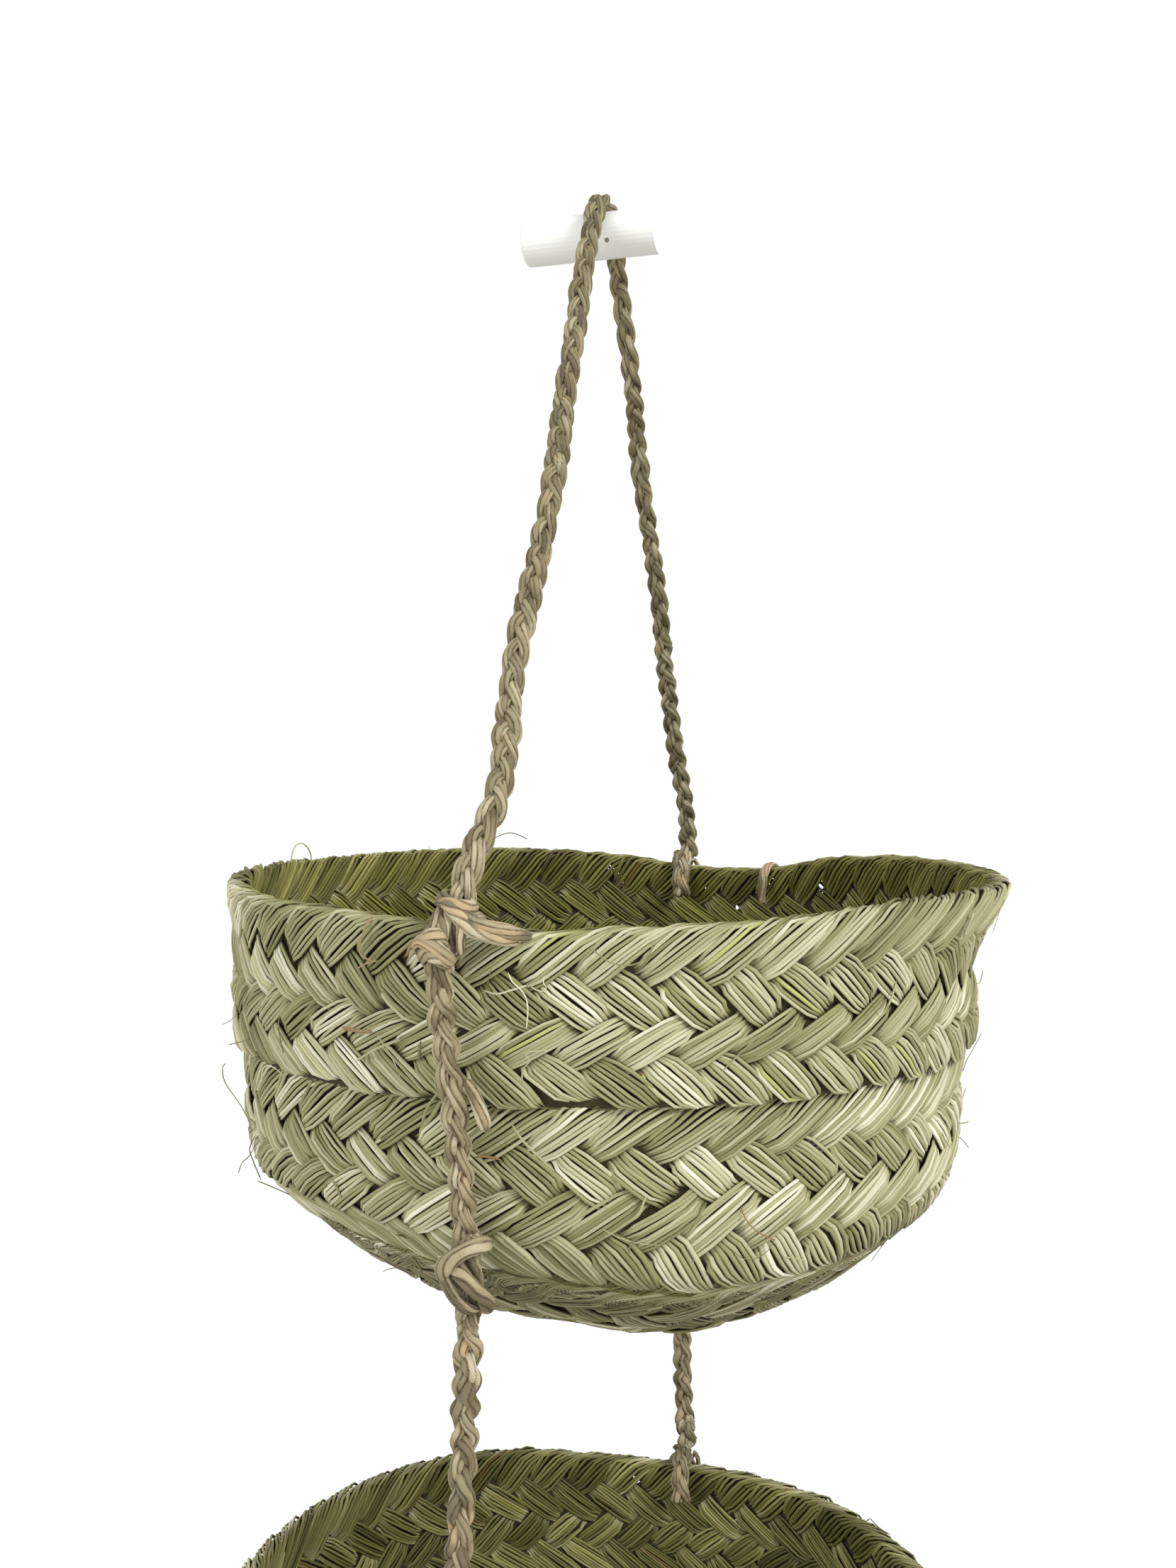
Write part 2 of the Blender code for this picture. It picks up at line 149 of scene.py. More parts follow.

# Courses: line is the middle, as (radius, depth below the rim) in millimetres; strands
# is how many pitches go round; curves are the shares of the course that bend at its
# upper and lower edge; stand_off is how far the strands lie off the middle at the upper
# edge, inside and at the lower edge; rough is how unevenly they lie; stretch makes the row
# of crossings at the upper and the lower edge longer; and cast is how strongly the
# strands that run inside get painted shade, greener and darker
Course = namedtuple("Course", "line strands curves stand_off rough stretch cast")
RIM_LINE = ((143.6, 0.9), (143.7, 8), (143.4, 21), (142.6, 37), (140.4, 54.9))
WALL_LINE = ((137.9, 53.7), (136.6, 67), (136.0, 86), (133.6, 101), (129.8, 110.5),
             (125.6, 116.4))
CORNER_LINE = ((124.4, 115.0), (119.0, 121.4), (111.6, 127.8), (102.6, 134.0), (90.6, 140.6))
BASE_LINE = ((88.4, 141.3), (68.0, 142.2), (48.0, 141.6))
CENTRE_LINE = ((46.0, 141.4), (26.0, 142.0), (6.5, 141.4))
COURSES = {
    "rim": Course(RIM_LINE, 49, (0.17, 0.08), (3.9, 1.8, 2.2), 1.0, (0.45, 0.1), 1.0),
    "wall": Course(WALL_LINE, 46, (0.08, 0.16), (1.9, 1.75, 2.8), 1.2, (0.1, 0.62), 1.0),
    "corner": Course(CORNER_LINE, 40, (0.06, 0.06), (2.4, 2.4, 2.0), 1.5, (0.0, 0.0), 0.2),
    "base": Course(BASE_LINE, 24, (0.06, 0.06), (1.5, 1.5, 1.5), 1.0, (0.0, 0.0), 0.35),
    "centre": Course(CENTRE_LINE, 9, (0.06, 0.06), (1.5, 1.3, 1.3), 1.0, (0.0, 0.0), 0.35),
}


# Lines, meshes and noise

def smooth_line(points, pieces):
    """A smooth curve through the given points, cut into pieces between two of them."""
    rough = np.array(points, float)
    ends = np.vstack((2 * rough[0] - rough[1], rough, 2 * rough[-1] - rough[-2]))
    smooth = [rough[0]]
    for a, b, c, d in zip(ends, ends[1:], ends[2:], ends[3:]):
        for t in np.linspace(0, 1, pieces + 1)[1:]:
            smooth.append(0.5 * (
                2 * b + (c - a) * t + (2 * a - 5 * b + 4 * c - d) * t**2
                + (3 * b - a - 3 * c + d) * t**3
            ))
    return np.array(smooth)


def distance_along(line):
    """How far along a line each of its points is."""
    steps = np.linalg.norm(np.diff(line, axis=0), axis=1)
    return np.concatenate(([0.0], np.cumsum(steps)))


def unit(vectors):
    """Rows of vectors made one long."""
    return vectors / np.linalg.norm(vectors, axis=1)[:, None]


def link_object(name, data):
    """A new object for some data, put in the scene."""
    piece = bpy.data.objects.new(name, data)
    bpy.context.scene.collection.objects.link(piece)
    return piece


def bmesh_object(name, bm):
    """A new object from a bmesh, which is then freed."""
    mesh = bpy.data.meshes.new(name)
    bm.to_mesh(mesh)
    bm.free()
    return link_object(name, mesh)


def wander(rng, count, points, size, waves=(1.5, 6.0)):
    """Smooth random drift of the given size for each of count lines."""
    along = np.linspace(0, 1, points)[None, :]
    drift = np.zeros((count, points))
    for _ in range(3):
        pace = rng.uniform(*waves, (count, 1))
        start = rng.uniform(0, math.tau, (count, 1))
        drift += np.sin(math.tau * pace * along + start)
    return drift * (size / math.sqrt(1.5))


def tube_mesh(name, lines, radii, resolution):
    """One mesh of round tubes with closed ends, its points in the order of the lines."""
    curve = bpy.data.curves.new(name, "CURVE")
    curve.dimensions = "3D"
    curve.bevel_depth = 1.0
    curve.bevel_resolution = resolution
    for line, radius in zip(lines, radii):
        places = np.ones((len(line), 4))
        places[:, :3] = line
        spline = curve.splines.new("POLY")
        spline.points.add(len(line) - 1)
        spline.points.foreach_set("co", places.ravel())
        spline.points.foreach_set("radius", radius)
        spline.use_smooth = True
    carrier = bpy.data.objects.new(name, curve)
    mesh = bpy.data.meshes.new_from_object(carrier)
    bpy.data.objects.remove(carrier)
    bpy.data.curves.remove(curve)
    mesh.name = name
    return mesh


def tubes(name, lines, radii, resolution=0, outward=None, **values):
    """An object of tapering tubes; values are numbers for each line or for each point of
    each line, and are kept as attributes that the materials read. Where outward is given,
    the attribute "open" is 1 on the sides that face it and 0 on those turned from it."""
    lines = [np.asarray(line, float) for line in lines]
    radii = [np.array(radius, float) * np.ones(len(line)) for radius, line in zip(radii, lines)]
    for radius in radii:
        radius[0] = radius[-1] = CLOSED
    mesh = tube_mesh(name, lines, radii, resolution)
    sides = 4 + 2 * resolution
    if outward is not None:
        places = np.zeros(len(mesh.vertices) * 3, np.float32)
        mesh.vertices.foreach_get("co", places)
        middles = np.repeat(np.concatenate(lines), sides, axis=0)
        reach = np.repeat(np.concatenate(radii), sides)[:, None]
        away = (places.reshape(-1, 3) - middles) / np.maximum(reach, SMALL)
        away = np.sum(away * np.repeat(np.concatenate(outward), sides, axis=0), axis=1)
        store_attribute(mesh, "open", np.clip(0.5 + 0.5 * away, 0, 1))
    for key, rows in values.items():
        spread = [
            np.repeat(np.asarray(row, float) * np.ones(len(line)), sides)
            for row, line in zip(rows, lines)
        ]
        store_attribute(mesh, key, np.concatenate(spread))
    return close_mesh(name, mesh)


def store_attribute(mesh, key, numbers):
    """Keep one number for each point of a mesh."""
    store = mesh.attributes.new(key, "FLOAT", "POINT")
    store.data.foreach_set("value", numbers.astype(np.float32))


def close_mesh(name, mesh):
    """Merge doubled points, turn the faces outwards, shade smooth and link the object."""
    bm = bmesh.new()
    bm.from_mesh(mesh)
    bmesh.ops.remove_doubles(bm, verts=bm.verts, dist=2 * CLOSED)
    bmesh.ops.recalc_face_normals(bm, faces=bm.faces)
    bm.to_mesh(mesh)
    bm.free()
    mesh.shade_smooth()
    return link_object(name, mesh)


# The plait

def course_surface(line):
    """Radius, depth and outward normal against the distance down a course's middle."""
    smooth = smooth_line(np.array(line, float) * MM, 8)
    along = distance_along(smooth)
    slope = unit(np.gradient(smooth, along, axis=0))
    return along, smooth[:, 0], smooth[:, 1], slope[:, 1], -slope[:, 0]


def down_course(share, curves, stretch):
    """How far down a course a strand is, against its crossings, level at both edges."""
    top_curve, low_curve = curves
    full = 1 - top_curve / 2 - low_curve / 2
    top = np.clip(share, 0, top_curve)
    low = np.clip(share - (1 - low_curve), 0, low_curve)
    middle = np.clip(share - top_curve, 0, 1 - top_curve - low_curve)
    even = (top**2 / (2 * top_curve) + middle + low - low**2 / (2 * low_curve)) / full
    return even + stretch[0] * even * (1 - even) ** 2 - stretch[1] * even**2 * (1 - even)


def side_of(crossings):
    """Which side of the course a strand is on: out is 1 and in is -1, against crossings
    counted from the upper edge, which are negative before the strand reaches it."""
    folded = np.abs(crossings)
    past = folded > STRANDS_ACROSS
    folded = np.where(past, 2 * STRANDS_ACROSS - folded, folded)
    table = np.array(SIDE_TABLE)
    side = np.interp(folded, table[:, 0], table[:, 1])
    return np.where(past, 1, -1) * np.sign(crossings) * side


class Weave:
    """The stems of one course as arrays: a row for each stem, and a column for each point of
    its run up to the upper edge and down again."""

    def __init__(self, course, look, rng):
        """Place each stem in its strand and count its crossings from the upper edge."""
        self.course, self.look, self.rng = course, look, rng
        self.along, self.radius, self.depth, self.out_r, self.out_z = course_surface(course.line)
        self.width = self.along[-1]
        self.middle_radius = float(np.interp(self.width / 2, self.along, self.radius))
        self.pitch = math.tau * self.middle_radius / course.strands
        self.per = look.stems_per_strand
        self.count = course.strands * self.per
        self.stem = np.tile(np.linspace(-0.5, 0.5, self.per), course.strands)
        half = np.array(STEP_AT)
        steps = np.concatenate((-half[::-1], half[1:]))
        self.points = len(steps)
        self.loose = self.by_stem(rng.uniform(-1, 1, course.strands))
        fill = self.by_stem(rng.uniform(*STRAND_FILL, course.strands))
        stray = rng.uniform(-STEM_STRAY, STEM_STRAY, self.count)
        self.offset = self.stem * fill + stray / self.per
        travel = steps[None, :] - self.offset[:, None]
        self.travel = np.clip(travel, -STRANDS_ACROSS, STRANDS_ACROSS)
        self.side = side_of(self.travel + self.offset[:, None])
        self.share = np.abs(self.travel) / STRANDS_ACROSS
        self.below_fold = np.clip(np.abs(self.travel) - FOLD_TOP, 0, 1)

    def by_stem(self, values):
        """Values of the strands, repeated for each stem in them."""
        return np.repeat(values, self.per, axis=0)

    def strand_wander(self, size, waves=(1.5, 6.0)):
        """Drift that all the stems of a strand share."""
        return self.by_stem(wander(self.rng, self.course.strands, self.points, size, waves))

    def stem_wander(self, size, waves=(3, 11)):
        """Drift of each stem by itself."""
        return wander(self.rng, self.count, self.points, size, waves)

    def run(self):
        """Distances across and down the course, measured on its middle."""
        look, course = self.look, self.course
        drift = look.strand_drift * course.rough
        down = self.width * down_course(self.share, course.curves, course.stretch)
        pinch = 1 - look.pinch * (1 - np.clip(np.abs(self.side), 0, 1) ** 2) * self.below_fold
        pinch = pinch + look.splay * np.exp(-(self.travel / SPLAY_REACH) ** 2)
        strand = self.by_stem(np.arange(course.strands))
        across = (strand[:, None] + self.offset[:, None] * pinch + self.travel / 2) * self.pitch
        across = across + self.strand_wander(drift) + self.stem_wander(look.stem_drift)
        across = across - look.lean * (down - self.width / 2)
        free = np.sin(math.pi * self.share)
        sink = self.stem_wander(look.stem_drift)
        down = np.clip(down + self.strand_wander(drift) * free + sink * free, 0, self.width)
        ragged = self.by_stem(self.rng.normal(0, look.ragged, course.strands))[:, None]
        down = down + ragged * np.clip(self.share * 3 - 2, 0, 1)
        uneven = self.rng.uniform(0, look.fold_step, (self.count, 1))
        return across, down + uneven * np.exp(-(self.travel / FOLD_REACH) ** 2)

    def lift(self, down):
        """How far each point stands off the course's middle: outwards, or inwards below 0."""
        look, course = self.look, self.course
        top, inside, low = (value * MM for value in course.stand_off)
        near_top = np.exp(-(down / TOP_REACH) ** 2)
        near_low = np.exp(-((self.width - down) / LOW_REACH) ** 2)
        off = inside + (top - inside) * near_top + (low - inside) * near_low
        crown = look.crown * (1 - 4 * self.stem[:, None] ** 2)
        crown = crown + look.crown * 0.6 * course.rough * self.loose[:, None]
        crown = crown * np.where(self.side < 0, INSIDE_CROWN, 1.0) * self.below_fold
        lift = self.side * (off + crown * np.abs(self.side))
        lift = lift + self.stem_wander(look.stem_drift * 0.8)
        return lift + self.strand_wander(look.lumps * (course.rough - 1), (2, 7))

    def place(self, down, lift):
        """Distances from the axis and heights, for points that stand off the middle."""
        ring = np.interp(down, self.along, self.radius)
        height = -np.interp(down, self.along, self.depth)
        return (ring + lift * np.interp(down, self.along, self.out_r),
                height + lift * np.interp(down, self.along, self.out_z))

    def thickness(self, across, down):
        """The stems' radii: thinner where the strand's slant presses them together."""
        sinks, goes = np.gradient(down, axis=1), np.gradient(across, axis=1)
        steep = sinks / np.maximum(np.hypot(sinks, goes), TINY)
        room = self.pitch * STEMS_FILL / self.per * np.abs(steep) * 0.5
        radius = self.look.stem_radius
        thick = radius * (0.20 + 0.89 * np.clip(room / radius, *PRESSED))
        return thick * self.rng.uniform(0.88, 1.12, (self.count, 1))

    def tints(self):
        """What the material reads: each stem's tone, how much painted shade a point gets for lying
        on the basket's inside, and how strongly it is brown or yellow."""
        bundle = self.by_stem(self.rng.uniform(0, 1, self.course.strands))
        tint = np.clip(0.45 * bundle + 0.55 * self.rng.uniform(0, 1, self.count), 0, 1)
        picked = self.rng.uniform(0, 1, self.count) < self.look.odd_share
        odd = np.where(picked, self.rng.uniform(0.2, 1, self.count), 0.0)
        odd = odd[:, None] * np.clip(self.stem_wander(1.0, (1, 3)) + 0.4, 0, 1)
        return {"tint": tint, "inner": np.clip(0.5 - self.side * 0.62, 0, 1), "odd": odd}

    def outward(self, angle, down):
        """The way out of the plait at each point, also where it folds over an edge."""
        face = np.clip(self.side * 1.3, -1, 1)
        fold = np.clip(1 - np.abs(self.travel) / FOLD_REACH, 0, 1)
        fold = fold - np.clip(1 - (STRANDS_ACROSS - np.abs(self.travel)) / FOLD_REACH, 0, 1)
        normal_r = np.interp(down, self.along, self.out_r)
        normal_z = np.interp(down, self.along, self.out_z)
        out_r = normal_r * face + normal_z * fold
        out_z = normal_z * face + normal_r * fold
        return np.stack((out_r * np.cos(angle), out_r * np.sin(angle), out_z), axis=2)


def plait(course, look, rng):
    """Stems of one course: their lines round the basket's axis at rim height zero."""
    weave = Weave(course, look, rng)
    across, down = weave.run()
    ring, height = weave.place(down, weave.lift(down))
    thick = weave.thickness(across, down)
    angle = across / weave.middle_radius
    return angle, ring, height, thick, weave.outward(angle, down), weave.tints()


def shape_basket(angle, ring, height, out_of_round):
    """Turn ring coordinates into places, with the basket's own unevenness."""
    turn = np.degrees(angle) % 360
    flare, lift, waist, corner = (
        np.interp(turn, out_of_round[:, 0], out_of_round[:, k], period=360) * MM
        for k in (1, 2, 3, 4))
    rim = np.clip(1 + height / (70 * MM), 0, 1)
    middle = np.exp(-((height / MM + 26) / 12) ** 2)
    low = np.clip(-(height / MM + 93) / 17, 0, 1) * np.clip((ring / MM - 62) / 36, 0, 1)
    low = low * low * (3 - 2 * low)
    return (ring + flare * rim**2 + waist * middle - 0.64 * corner * low,
            height + lift * rim**1.5 + 0.76 * corner * low)


def in_place(turn, ring, height, place):
    """Points from angle, distance from the axis and height over the rim of a basket."""
    return np.stack((ring * np.cos(turn), place.axis_y + ring * np.sin(turn),
                     place.rim_z + height), axis=-1)


def core_line(course):
    """The middle of a course as (radius, height), carried on over the seam below it."""
    along, radius, depth, _, _ = course_surface(COURSES[course].line)
    count = max(4, round(along[-1] / CORE_ROW))
    rows = np.linspace(CORE_TOP, along[-1] - CORE_END, count)
    line = [(np.interp(row, along, radius), -np.interp(row, along, depth)) for row in rows]
    words = list(COURSES)
    if course != words[-1]:
        below = words[words.index(course) + 1]
        along, radius, depth, _, _ = course_surface(COURSES[below].line)
        line.append((np.interp(CORE_OVER, along, radius), -np.interp(CORE_OVER, along, depth)))
    return line


def shade_sheet(name, course, place, seed):
    """Painted shade in the middle of a course: a thin dark sheet that light passes in a few places.
    """
    rng = np.random.default_rng(seed)
    bm = bmesh.new()
    edge = [bm.verts.new((radius, 0, height)) for radius, height in core_line(course)]
    lines = [bm.edges.new(pair) for pair in zip(edge, edge[1:])]
    bmesh.ops.spin(bm, geom=edge + lines, axis=(0, 0, 1), cent=(0, 0, 0), angle=math.tau,
                   steps=CORE_STEPS, use_merge=True)
    bmesh.ops.remove_doubles(bm, verts=bm.verts, dist=1e-6)
    first, last = (math.radians(degrees) for degrees in LIGHT_BETWEEN)
    holes = []
    for face in bm.faces:
        middle = face.calc_center_median()
        turn = math.atan2(middle.y, middle.x) % math.tau
        if rng.uniform() < place.light and first < turn < last:
            holes.append(face)
    bmesh.ops.delete(bm, geom=holes, context="FACES")
    for vert in bm.verts:
        turn = math.atan2(vert.co.y, vert.co.x)
        ring = math.hypot(vert.co.x, vert.co.y)
        ring, height = shape_basket(turn, ring, vert.co.z, place.uneven)
        vert.co = in_place(turn, ring, height, place)
    bmesh.ops.recalc_face_normals(bm, faces=bm.faces)
    bmesh.ops.solidify(bm, geom=bm.faces[:], thickness=CORE_THICK)
    return bmesh_object(name, bm)


def plait_object(name, course, look, place, seed):
    """One whole course as a piece, in its place."""
    rng = np.random.default_rng(seed)
    angle, ring, height, thick, outward, values = plait(COURSES[course], look, rng)
    # Painted shade: how much darker and greener the inside strands are made, for each course and each
    # basket
    values["inner"] = values["inner"] * place.shade * COURSES[course].cast
    ring, height = shape_basket(angle, ring, height, place.uneven)
    sides = 1 if course in ("rim", "wall", "corner") else 0
    return tubes(name, in_place(angle, ring, height, place), thick, sides, outward=outward,
                 **values)


# Ropes

def smooth_path(points, step):
    """Evenly spaced places along a smooth curve through the given points."""
    dense = smooth_line(points, 12)
    along = distance_along(dense)
    count = max(2, round(along[-1] / step))
    places = np.linspace(0, along[-1], count + 1)
    return np.stack([np.interp(places, along, dense[:, k]) for k in range(3)], axis=1), along[-1]


def path_frame(path, level=None, centre=None):
    """Across and towards directions at each place of a path: across keeps to the way given
    as level, or else towards keeps away from a centre that the path winds round."""
    along = unit(np.gradient(path, axis=0))
    if centre is None:
        towards = np.cross(along, np.broadcast_to(np.array(level, float), path.shape))
    else:
        away = path - np.array(centre, float)
        towards = away - along * np.sum(away * along, axis=1)[:, None]
    towards /= np.maximum(np.linalg.norm(towards, axis=1)[:, None], 1e-6)
    return np.cross(towards, along), towards


def leaf_strand(centres, towards, wide, thick, look, rng):
    """One strand of rope: a flat roll of leaf strips pressed together, with a crease
    between each strip and the next. Returns its rings of points and their values."""
    points = len(centres)
    along = unit(np.gradient(centres, axis=0))
    flat = unit(np.cross(towards, along))
    thin = np.cross(along, flat)
    run = distance_along(centres)
    waves = (run[-1] / 0.06, run[-1] / 0.015)
    around = np.linspace(0, math.tau, ROPE_SIDES, endpoint=False)[None, :]
    twist = rng.uniform(0, math.tau) + run * look.leaf_twist
    twist = twist + wander(rng, 1, points, 0.5, waves)[0]
    turned = around + 0.4 * np.sin(around + rng.uniform(0, math.tau)) + twist[:, None]
    bulge = np.abs(np.sin(look.leaves * turned / 2))
    swell = 1 - look.crease * (1 - bulge) ** 1.6
    swell = swell * (1 + wander(rng, 1, points, 0.05, waves)[0])[:, None]
    close = np.sqrt(np.clip(np.minimum(run, run[-1] - run) / (1.6 * MM), 1e-8, 1))
    reach = swell * close[:, None]
    wide = (wide * np.ones(points))[:, None]
    thick = (thick * np.ones(points))[:, None]
    rings = (centres[:, None, :]
             + flat[:, None, :] * (wide / 2 * np.cos(around) * reach)[..., None]
             + thin[:, None, :] * (thick / 2 * np.sin(around) * reach)[..., None])
    strip = np.floor(look.leaves * turned / math.tau).astype(int) % look.leaves
    tints = rng.uniform(0, 1, look.leaves)
    peaches = rng.uniform(-0.35, 0.35, look.leaves) + rng.uniform(0, 0.62)
    drift = wander(rng, 1, points, 0.16, waves)[0][:, None]
    values = {
        "tint": np.clip(tints[strip] + drift, 0, 1),
        "peach": np.clip(peaches[strip] + 1.6 * drift, 0, 1),
        # open marks where painted shade goes: low in the creases between strips
        "open": bulge,
        "vein": np.cos(turned) * wide / 2,
        "run": run[:, None] + np.zeros_like(bulge),
    }
    return rings, values


def rope_object(name, strands):
    """One closed mesh from the rings of several strands: tubes whose points are moved to
    the rings' places."""
    lines = [rings.mean(axis=1) for rings, _ in strands]
    mesh = tube_mesh(
        name, lines, [np.full(len(line), MM) for line in lines], (ROPE_SIDES - 4) // 2)
    places = np.concatenate([rings.reshape(-1, 3) for rings, _ in strands])
    mesh.vertices.foreach_set("co", places.astype(np.float32).ravel())
    for key in strands[0][1]:
        store_attribute(mesh, key, np.concatenate([values[key].ravel() for _, values in strands]))
    return close_mesh(name, mesh)


def braid(name, points, width, look, seed, level=(0, 1, 0)):
    """A flat three-strand braid of leaf along a route, one piece; the width may be a list
    of widths spread evenly over the route. Returns it, its middle line and its length."""
    rng = np.random.default_rng(seed)
    path, length = smooth_path(points, look.braid_step)
    across, towards = path_frame(path, level)
    count = len(path)
    place = np.linspace(0, length, count)
    widths = np.atleast_1d(width)
    width = np.interp(place, np.linspace(0, length, len(widths)), widths)
    slow = wander(rng, 1, count, 0.22, (length / 0.12, length / 0.05))[0]
    phase = rng.uniform(0, math.tau) + math.tau * place / look.braid_period + slow
    strands = []
    for strand in range(3):
        turn = phase + math.tau * strand / 3
        swell = 1 + wander(rng, 1, count, 0.06, (length / 0.09, length / 0.03))[0]
        side = width * 0.265 * np.sin(turn)
        depth = width * 0.175 * np.sin(2 * turn)
        centres = path + across * side[:, None] + towards * depth[:, None]
        centres = centres + across * wander(rng, 1, count, 0.2 * MM, (3, 12))[0][:, None]
        rings, values = leaf_strand(
            centres, towards, width * 0.52 * swell, width * 0.37 * swell, look, rng)
        out = (rings - path[:, None, :]) / (width[:, None, None] / 2)
        # Painted shade also towards the braid's middle, where the other strands cover a strand
        values["open"] = values["open"] * np.clip(np.linalg.norm(out, axis=2) * 1.5, 0, 1)
        strands.append((rings, values))
    return rope_object(name, strands), path, length


def wrap_strand(name, points, width, look, seed, level=None, centre=None, ends=(0.7, 0.5)):
    """One strand of leaf along a route, for knots and lashings; ends are the widths of its
    two ends as shares of its width."""
    rng = np.random.default_rng(seed)
    path, _ = smooth_path(points, look.braid_step)
    _, towards = path_frame(path, level, centre)
    share = np.linspace(0, 1, len(path))
    width = width * np.interp(share, (0, 0.2, 0.8, 1), (ends[0], 1, 1, ends[1]))
    return rope_object(name, [leaf_strand(path, towards, width, width * 0.5, look, rng)])


# Materials

class Value:
    """A socket that Python maths works on: each expression adds its own Math node."""

    def __init__(self, board, socket):
        """Keep the socket and the board that its nodes go on."""
        self.board = board
        self.socket = socket

    def _math(self, operation, *terms):
        """A Math node fed with values or numbers."""
        return self.board.add("ShaderNodeMath", {"operation": operation}, dict(enumerate(terms)))

    def __add__(self, other):
        return self._math("ADD", self, other)

    def __sub__(self, other):
        return self._math("SUBTRACT", self, other)

    def __rsub__(self, other):
        return self._math("SUBTRACT", other, self)

    def __mul__(self, other):
        return self._math("MULTIPLY", self, other)

    def __truediv__(self, other):
        return self._math("DIVIDE", self, other)

    __radd__ = __add__
    __rmul__ = __mul__

    def least(self, other):
        """The smaller of this and another value."""
        return self._math("MINIMUM", self, other)

    def most(self, other):
        """The larger of this and another value."""
        return self._math("MAXIMUM", self, other)

class Board:
    """The node tree of one material, with its Principled shader."""

    def __init__(self, name, roughness):
        """Start a material that holds only its shader."""
        self.material = bpy.data.materials.new(name)
        self.material.use_nodes = True
        self.tree = self.material.node_tree
        self.shader = self.tree.nodes["Principled BSDF"]
        self.shader.inputs["Roughness"].default_value = roughness

    def add(self, kind, settings=None, inputs=None, output=0):
        """Add a node: its settings first, then values or links for its sockets."""
        node = self.tree.nodes.new(kind)
        for key, setting in (settings or {}).items():
            if key == "stops":
                self._stops(node.color_ramp, setting)
            else:
                setattr(node, key, setting)
        for key, value in (inputs or {}).items():
            if isinstance(value, Value):
                self.tree.links.new(value.socket, node.inputs[key])
            elif value is not None:
                node.inputs[key].default_value = value
        return Value(self, node.outputs[output])

    @staticmethod
    def _stops(ramp, stops):
        """Set a ramp's places and colours."""
        while len(ramp.elements) < len(stops):
            ramp.elements.new(1.0)
        for element, (place, colour) in zip(ramp.elements, stops):
            element.position = place
            element.color = (*colour, 1.0)

    def feed(self, socket, value):
        """Link a value to one of the shader's inputs."""
        self.tree.links.new(value.socket, self.shader.inputs[socket])

    def attribute(self, name):
        """A number that is stored on the mesh's points."""
        return self.add("ShaderNodeAttribute", {"attribute_name": name}, output=2)

    def place(self):
        """The object's own coordinates."""
        return self.add("ShaderNodeTexCoord", output=3)

    def height(self):
        """How high a point is on the object."""
        return self.add("ShaderNodeSeparateXYZ", None, {0: self.place()}, output=2)

    def distance(self, point):
        """How far a point of the object is from a given place."""
        return self.add("ShaderNodeVectorMath", {"operation": "DISTANCE"},
                        {0: self.place(), 1: tuple(point)}, output=1)

    def vector(self, *parts):
        """A vector from three values."""
        return self.add("ShaderNodeCombineXYZ", None, dict(enumerate(parts)))

    def noise(self, scale, detail=3.0, rough=0.5, stretch=None, place=None):
        """Noise of a given scale, over the object's coordinates or another vector."""
        place = place or self.place()
        if stretch is not None:
            place = self.add("ShaderNodeMapping", None, {0: place, 3: stretch})
        return self.add(
            "ShaderNodeTexNoise", None, {"Vector": place, "Scale": scale, "Detail": detail,
                                         "Roughness": rough})

    def ramp(self, value, stops):
        """The colour that a ramp gives for a value."""
        return self.add("ShaderNodeValToRGB", {"stops": stops}, {0: value})

    def mix(self, share, low, high, blend="MIX"):
        """Two colours mixed, or blended in another way, by a share from 0 to 1."""
        settings = {"data_type": "RGBA", "blend_type": blend, "clamp_factor": True}
        return self.add("ShaderNodeMix", settings, {0: share, 6: low, 7: high}, output=2)

    def times(self, colour, cast):
        """A colour multiplied by a fixed cast."""
        return self.mix(1.0, colour, full(cast), "MULTIPLY")

    def bump(self, height, strength, distance):
        """Raise the shader's surface by a height."""
        normal = self.add(
            "ShaderNodeBump", None, {"Strength": strength, "Distance": distance, "Height": height})
        self.feed("Normal", normal)


def linear(colour):
    """Linear red, green and blue for a colour written in 0 to 255 steps of sRGB."""
    steps = [value / 255 for value in colour]
    return tuple(v / 12.92 if v <= 0.04045 else ((v + 0.055) / 1.055) ** 2.4 for v in steps)


def full(colour):
    """A colour with its alpha."""
    return (*colour, 1.0)


def crevice(board, hue, cast, width, depth):
    """Painted shade: darker, browner sides where stems or strips press against each other; the
    width they take up and how deep the cast is."""
    turned = ((width - board.attribute("open")) * depth).most(0.0).least(1.0)
    return board.mix(turned, hue, board.times(hue, cast))


def grass_material(look):
    """Dry esparto stems: straw to sage, with painted shade that makes them greener and darker on the
    basket's inside and darker and browner between the stems.
    """
    board = Board("esparto_stems", 0.62)
    tint = board.attribute("tint")
    inner = board.attribute("inner")
    cloud = board.noise(38.0, 3.0, 0.55)
    fleck = board.noise(420.0, 3.0, 0.6)
    outside = board.ramp(tint, [
        (0.0, look.stem_shade), (0.35, look.stem_middle), (0.70, look.stem_light),
        (0.93, look.stem_pale), (1.0, look.stem_yellow)])
    hue = board.mix((cloud - 0.40) * 2.4, outside, full(look.stem_green))
    hue = board.mix(0.45, outside, hue)
    spots = (fleck - 0.66).most(0.0) * 4.0
    hue = board.mix(spots.least(0.6), hue, full(look.stem_brown))
    odd = board.attribute("odd")
    other = board.mix((odd - 0.45) * 40.0, full(look.odd_yellow), full(look.odd_brown))
    hue = board.mix(((odd - 0.1) * 5.0).most(0.0).least(0.8), hue, other)
    # Painted shade: the strands on the basket's inside are made darker and olive
    dark = board.times(hue, look.inside_shade_cast)
    hue = board.mix(inner * look.inside_shade_share, hue, dark)
    # Painted shade: stem sides turned into the crevices are made darker and browner
    hue = crevice(board, hue, look.crevice_shade_cast, 0.72 - inner * 0.10, 2.1 - inner * 0.8)
    board.feed("Base Color", hue)
    board.feed("Roughness", 0.52 + fleck * 0.22)
    board.bump(fleck + board.noise(1400.0, 2.0), 0.35, 0.00025)
    return board.material


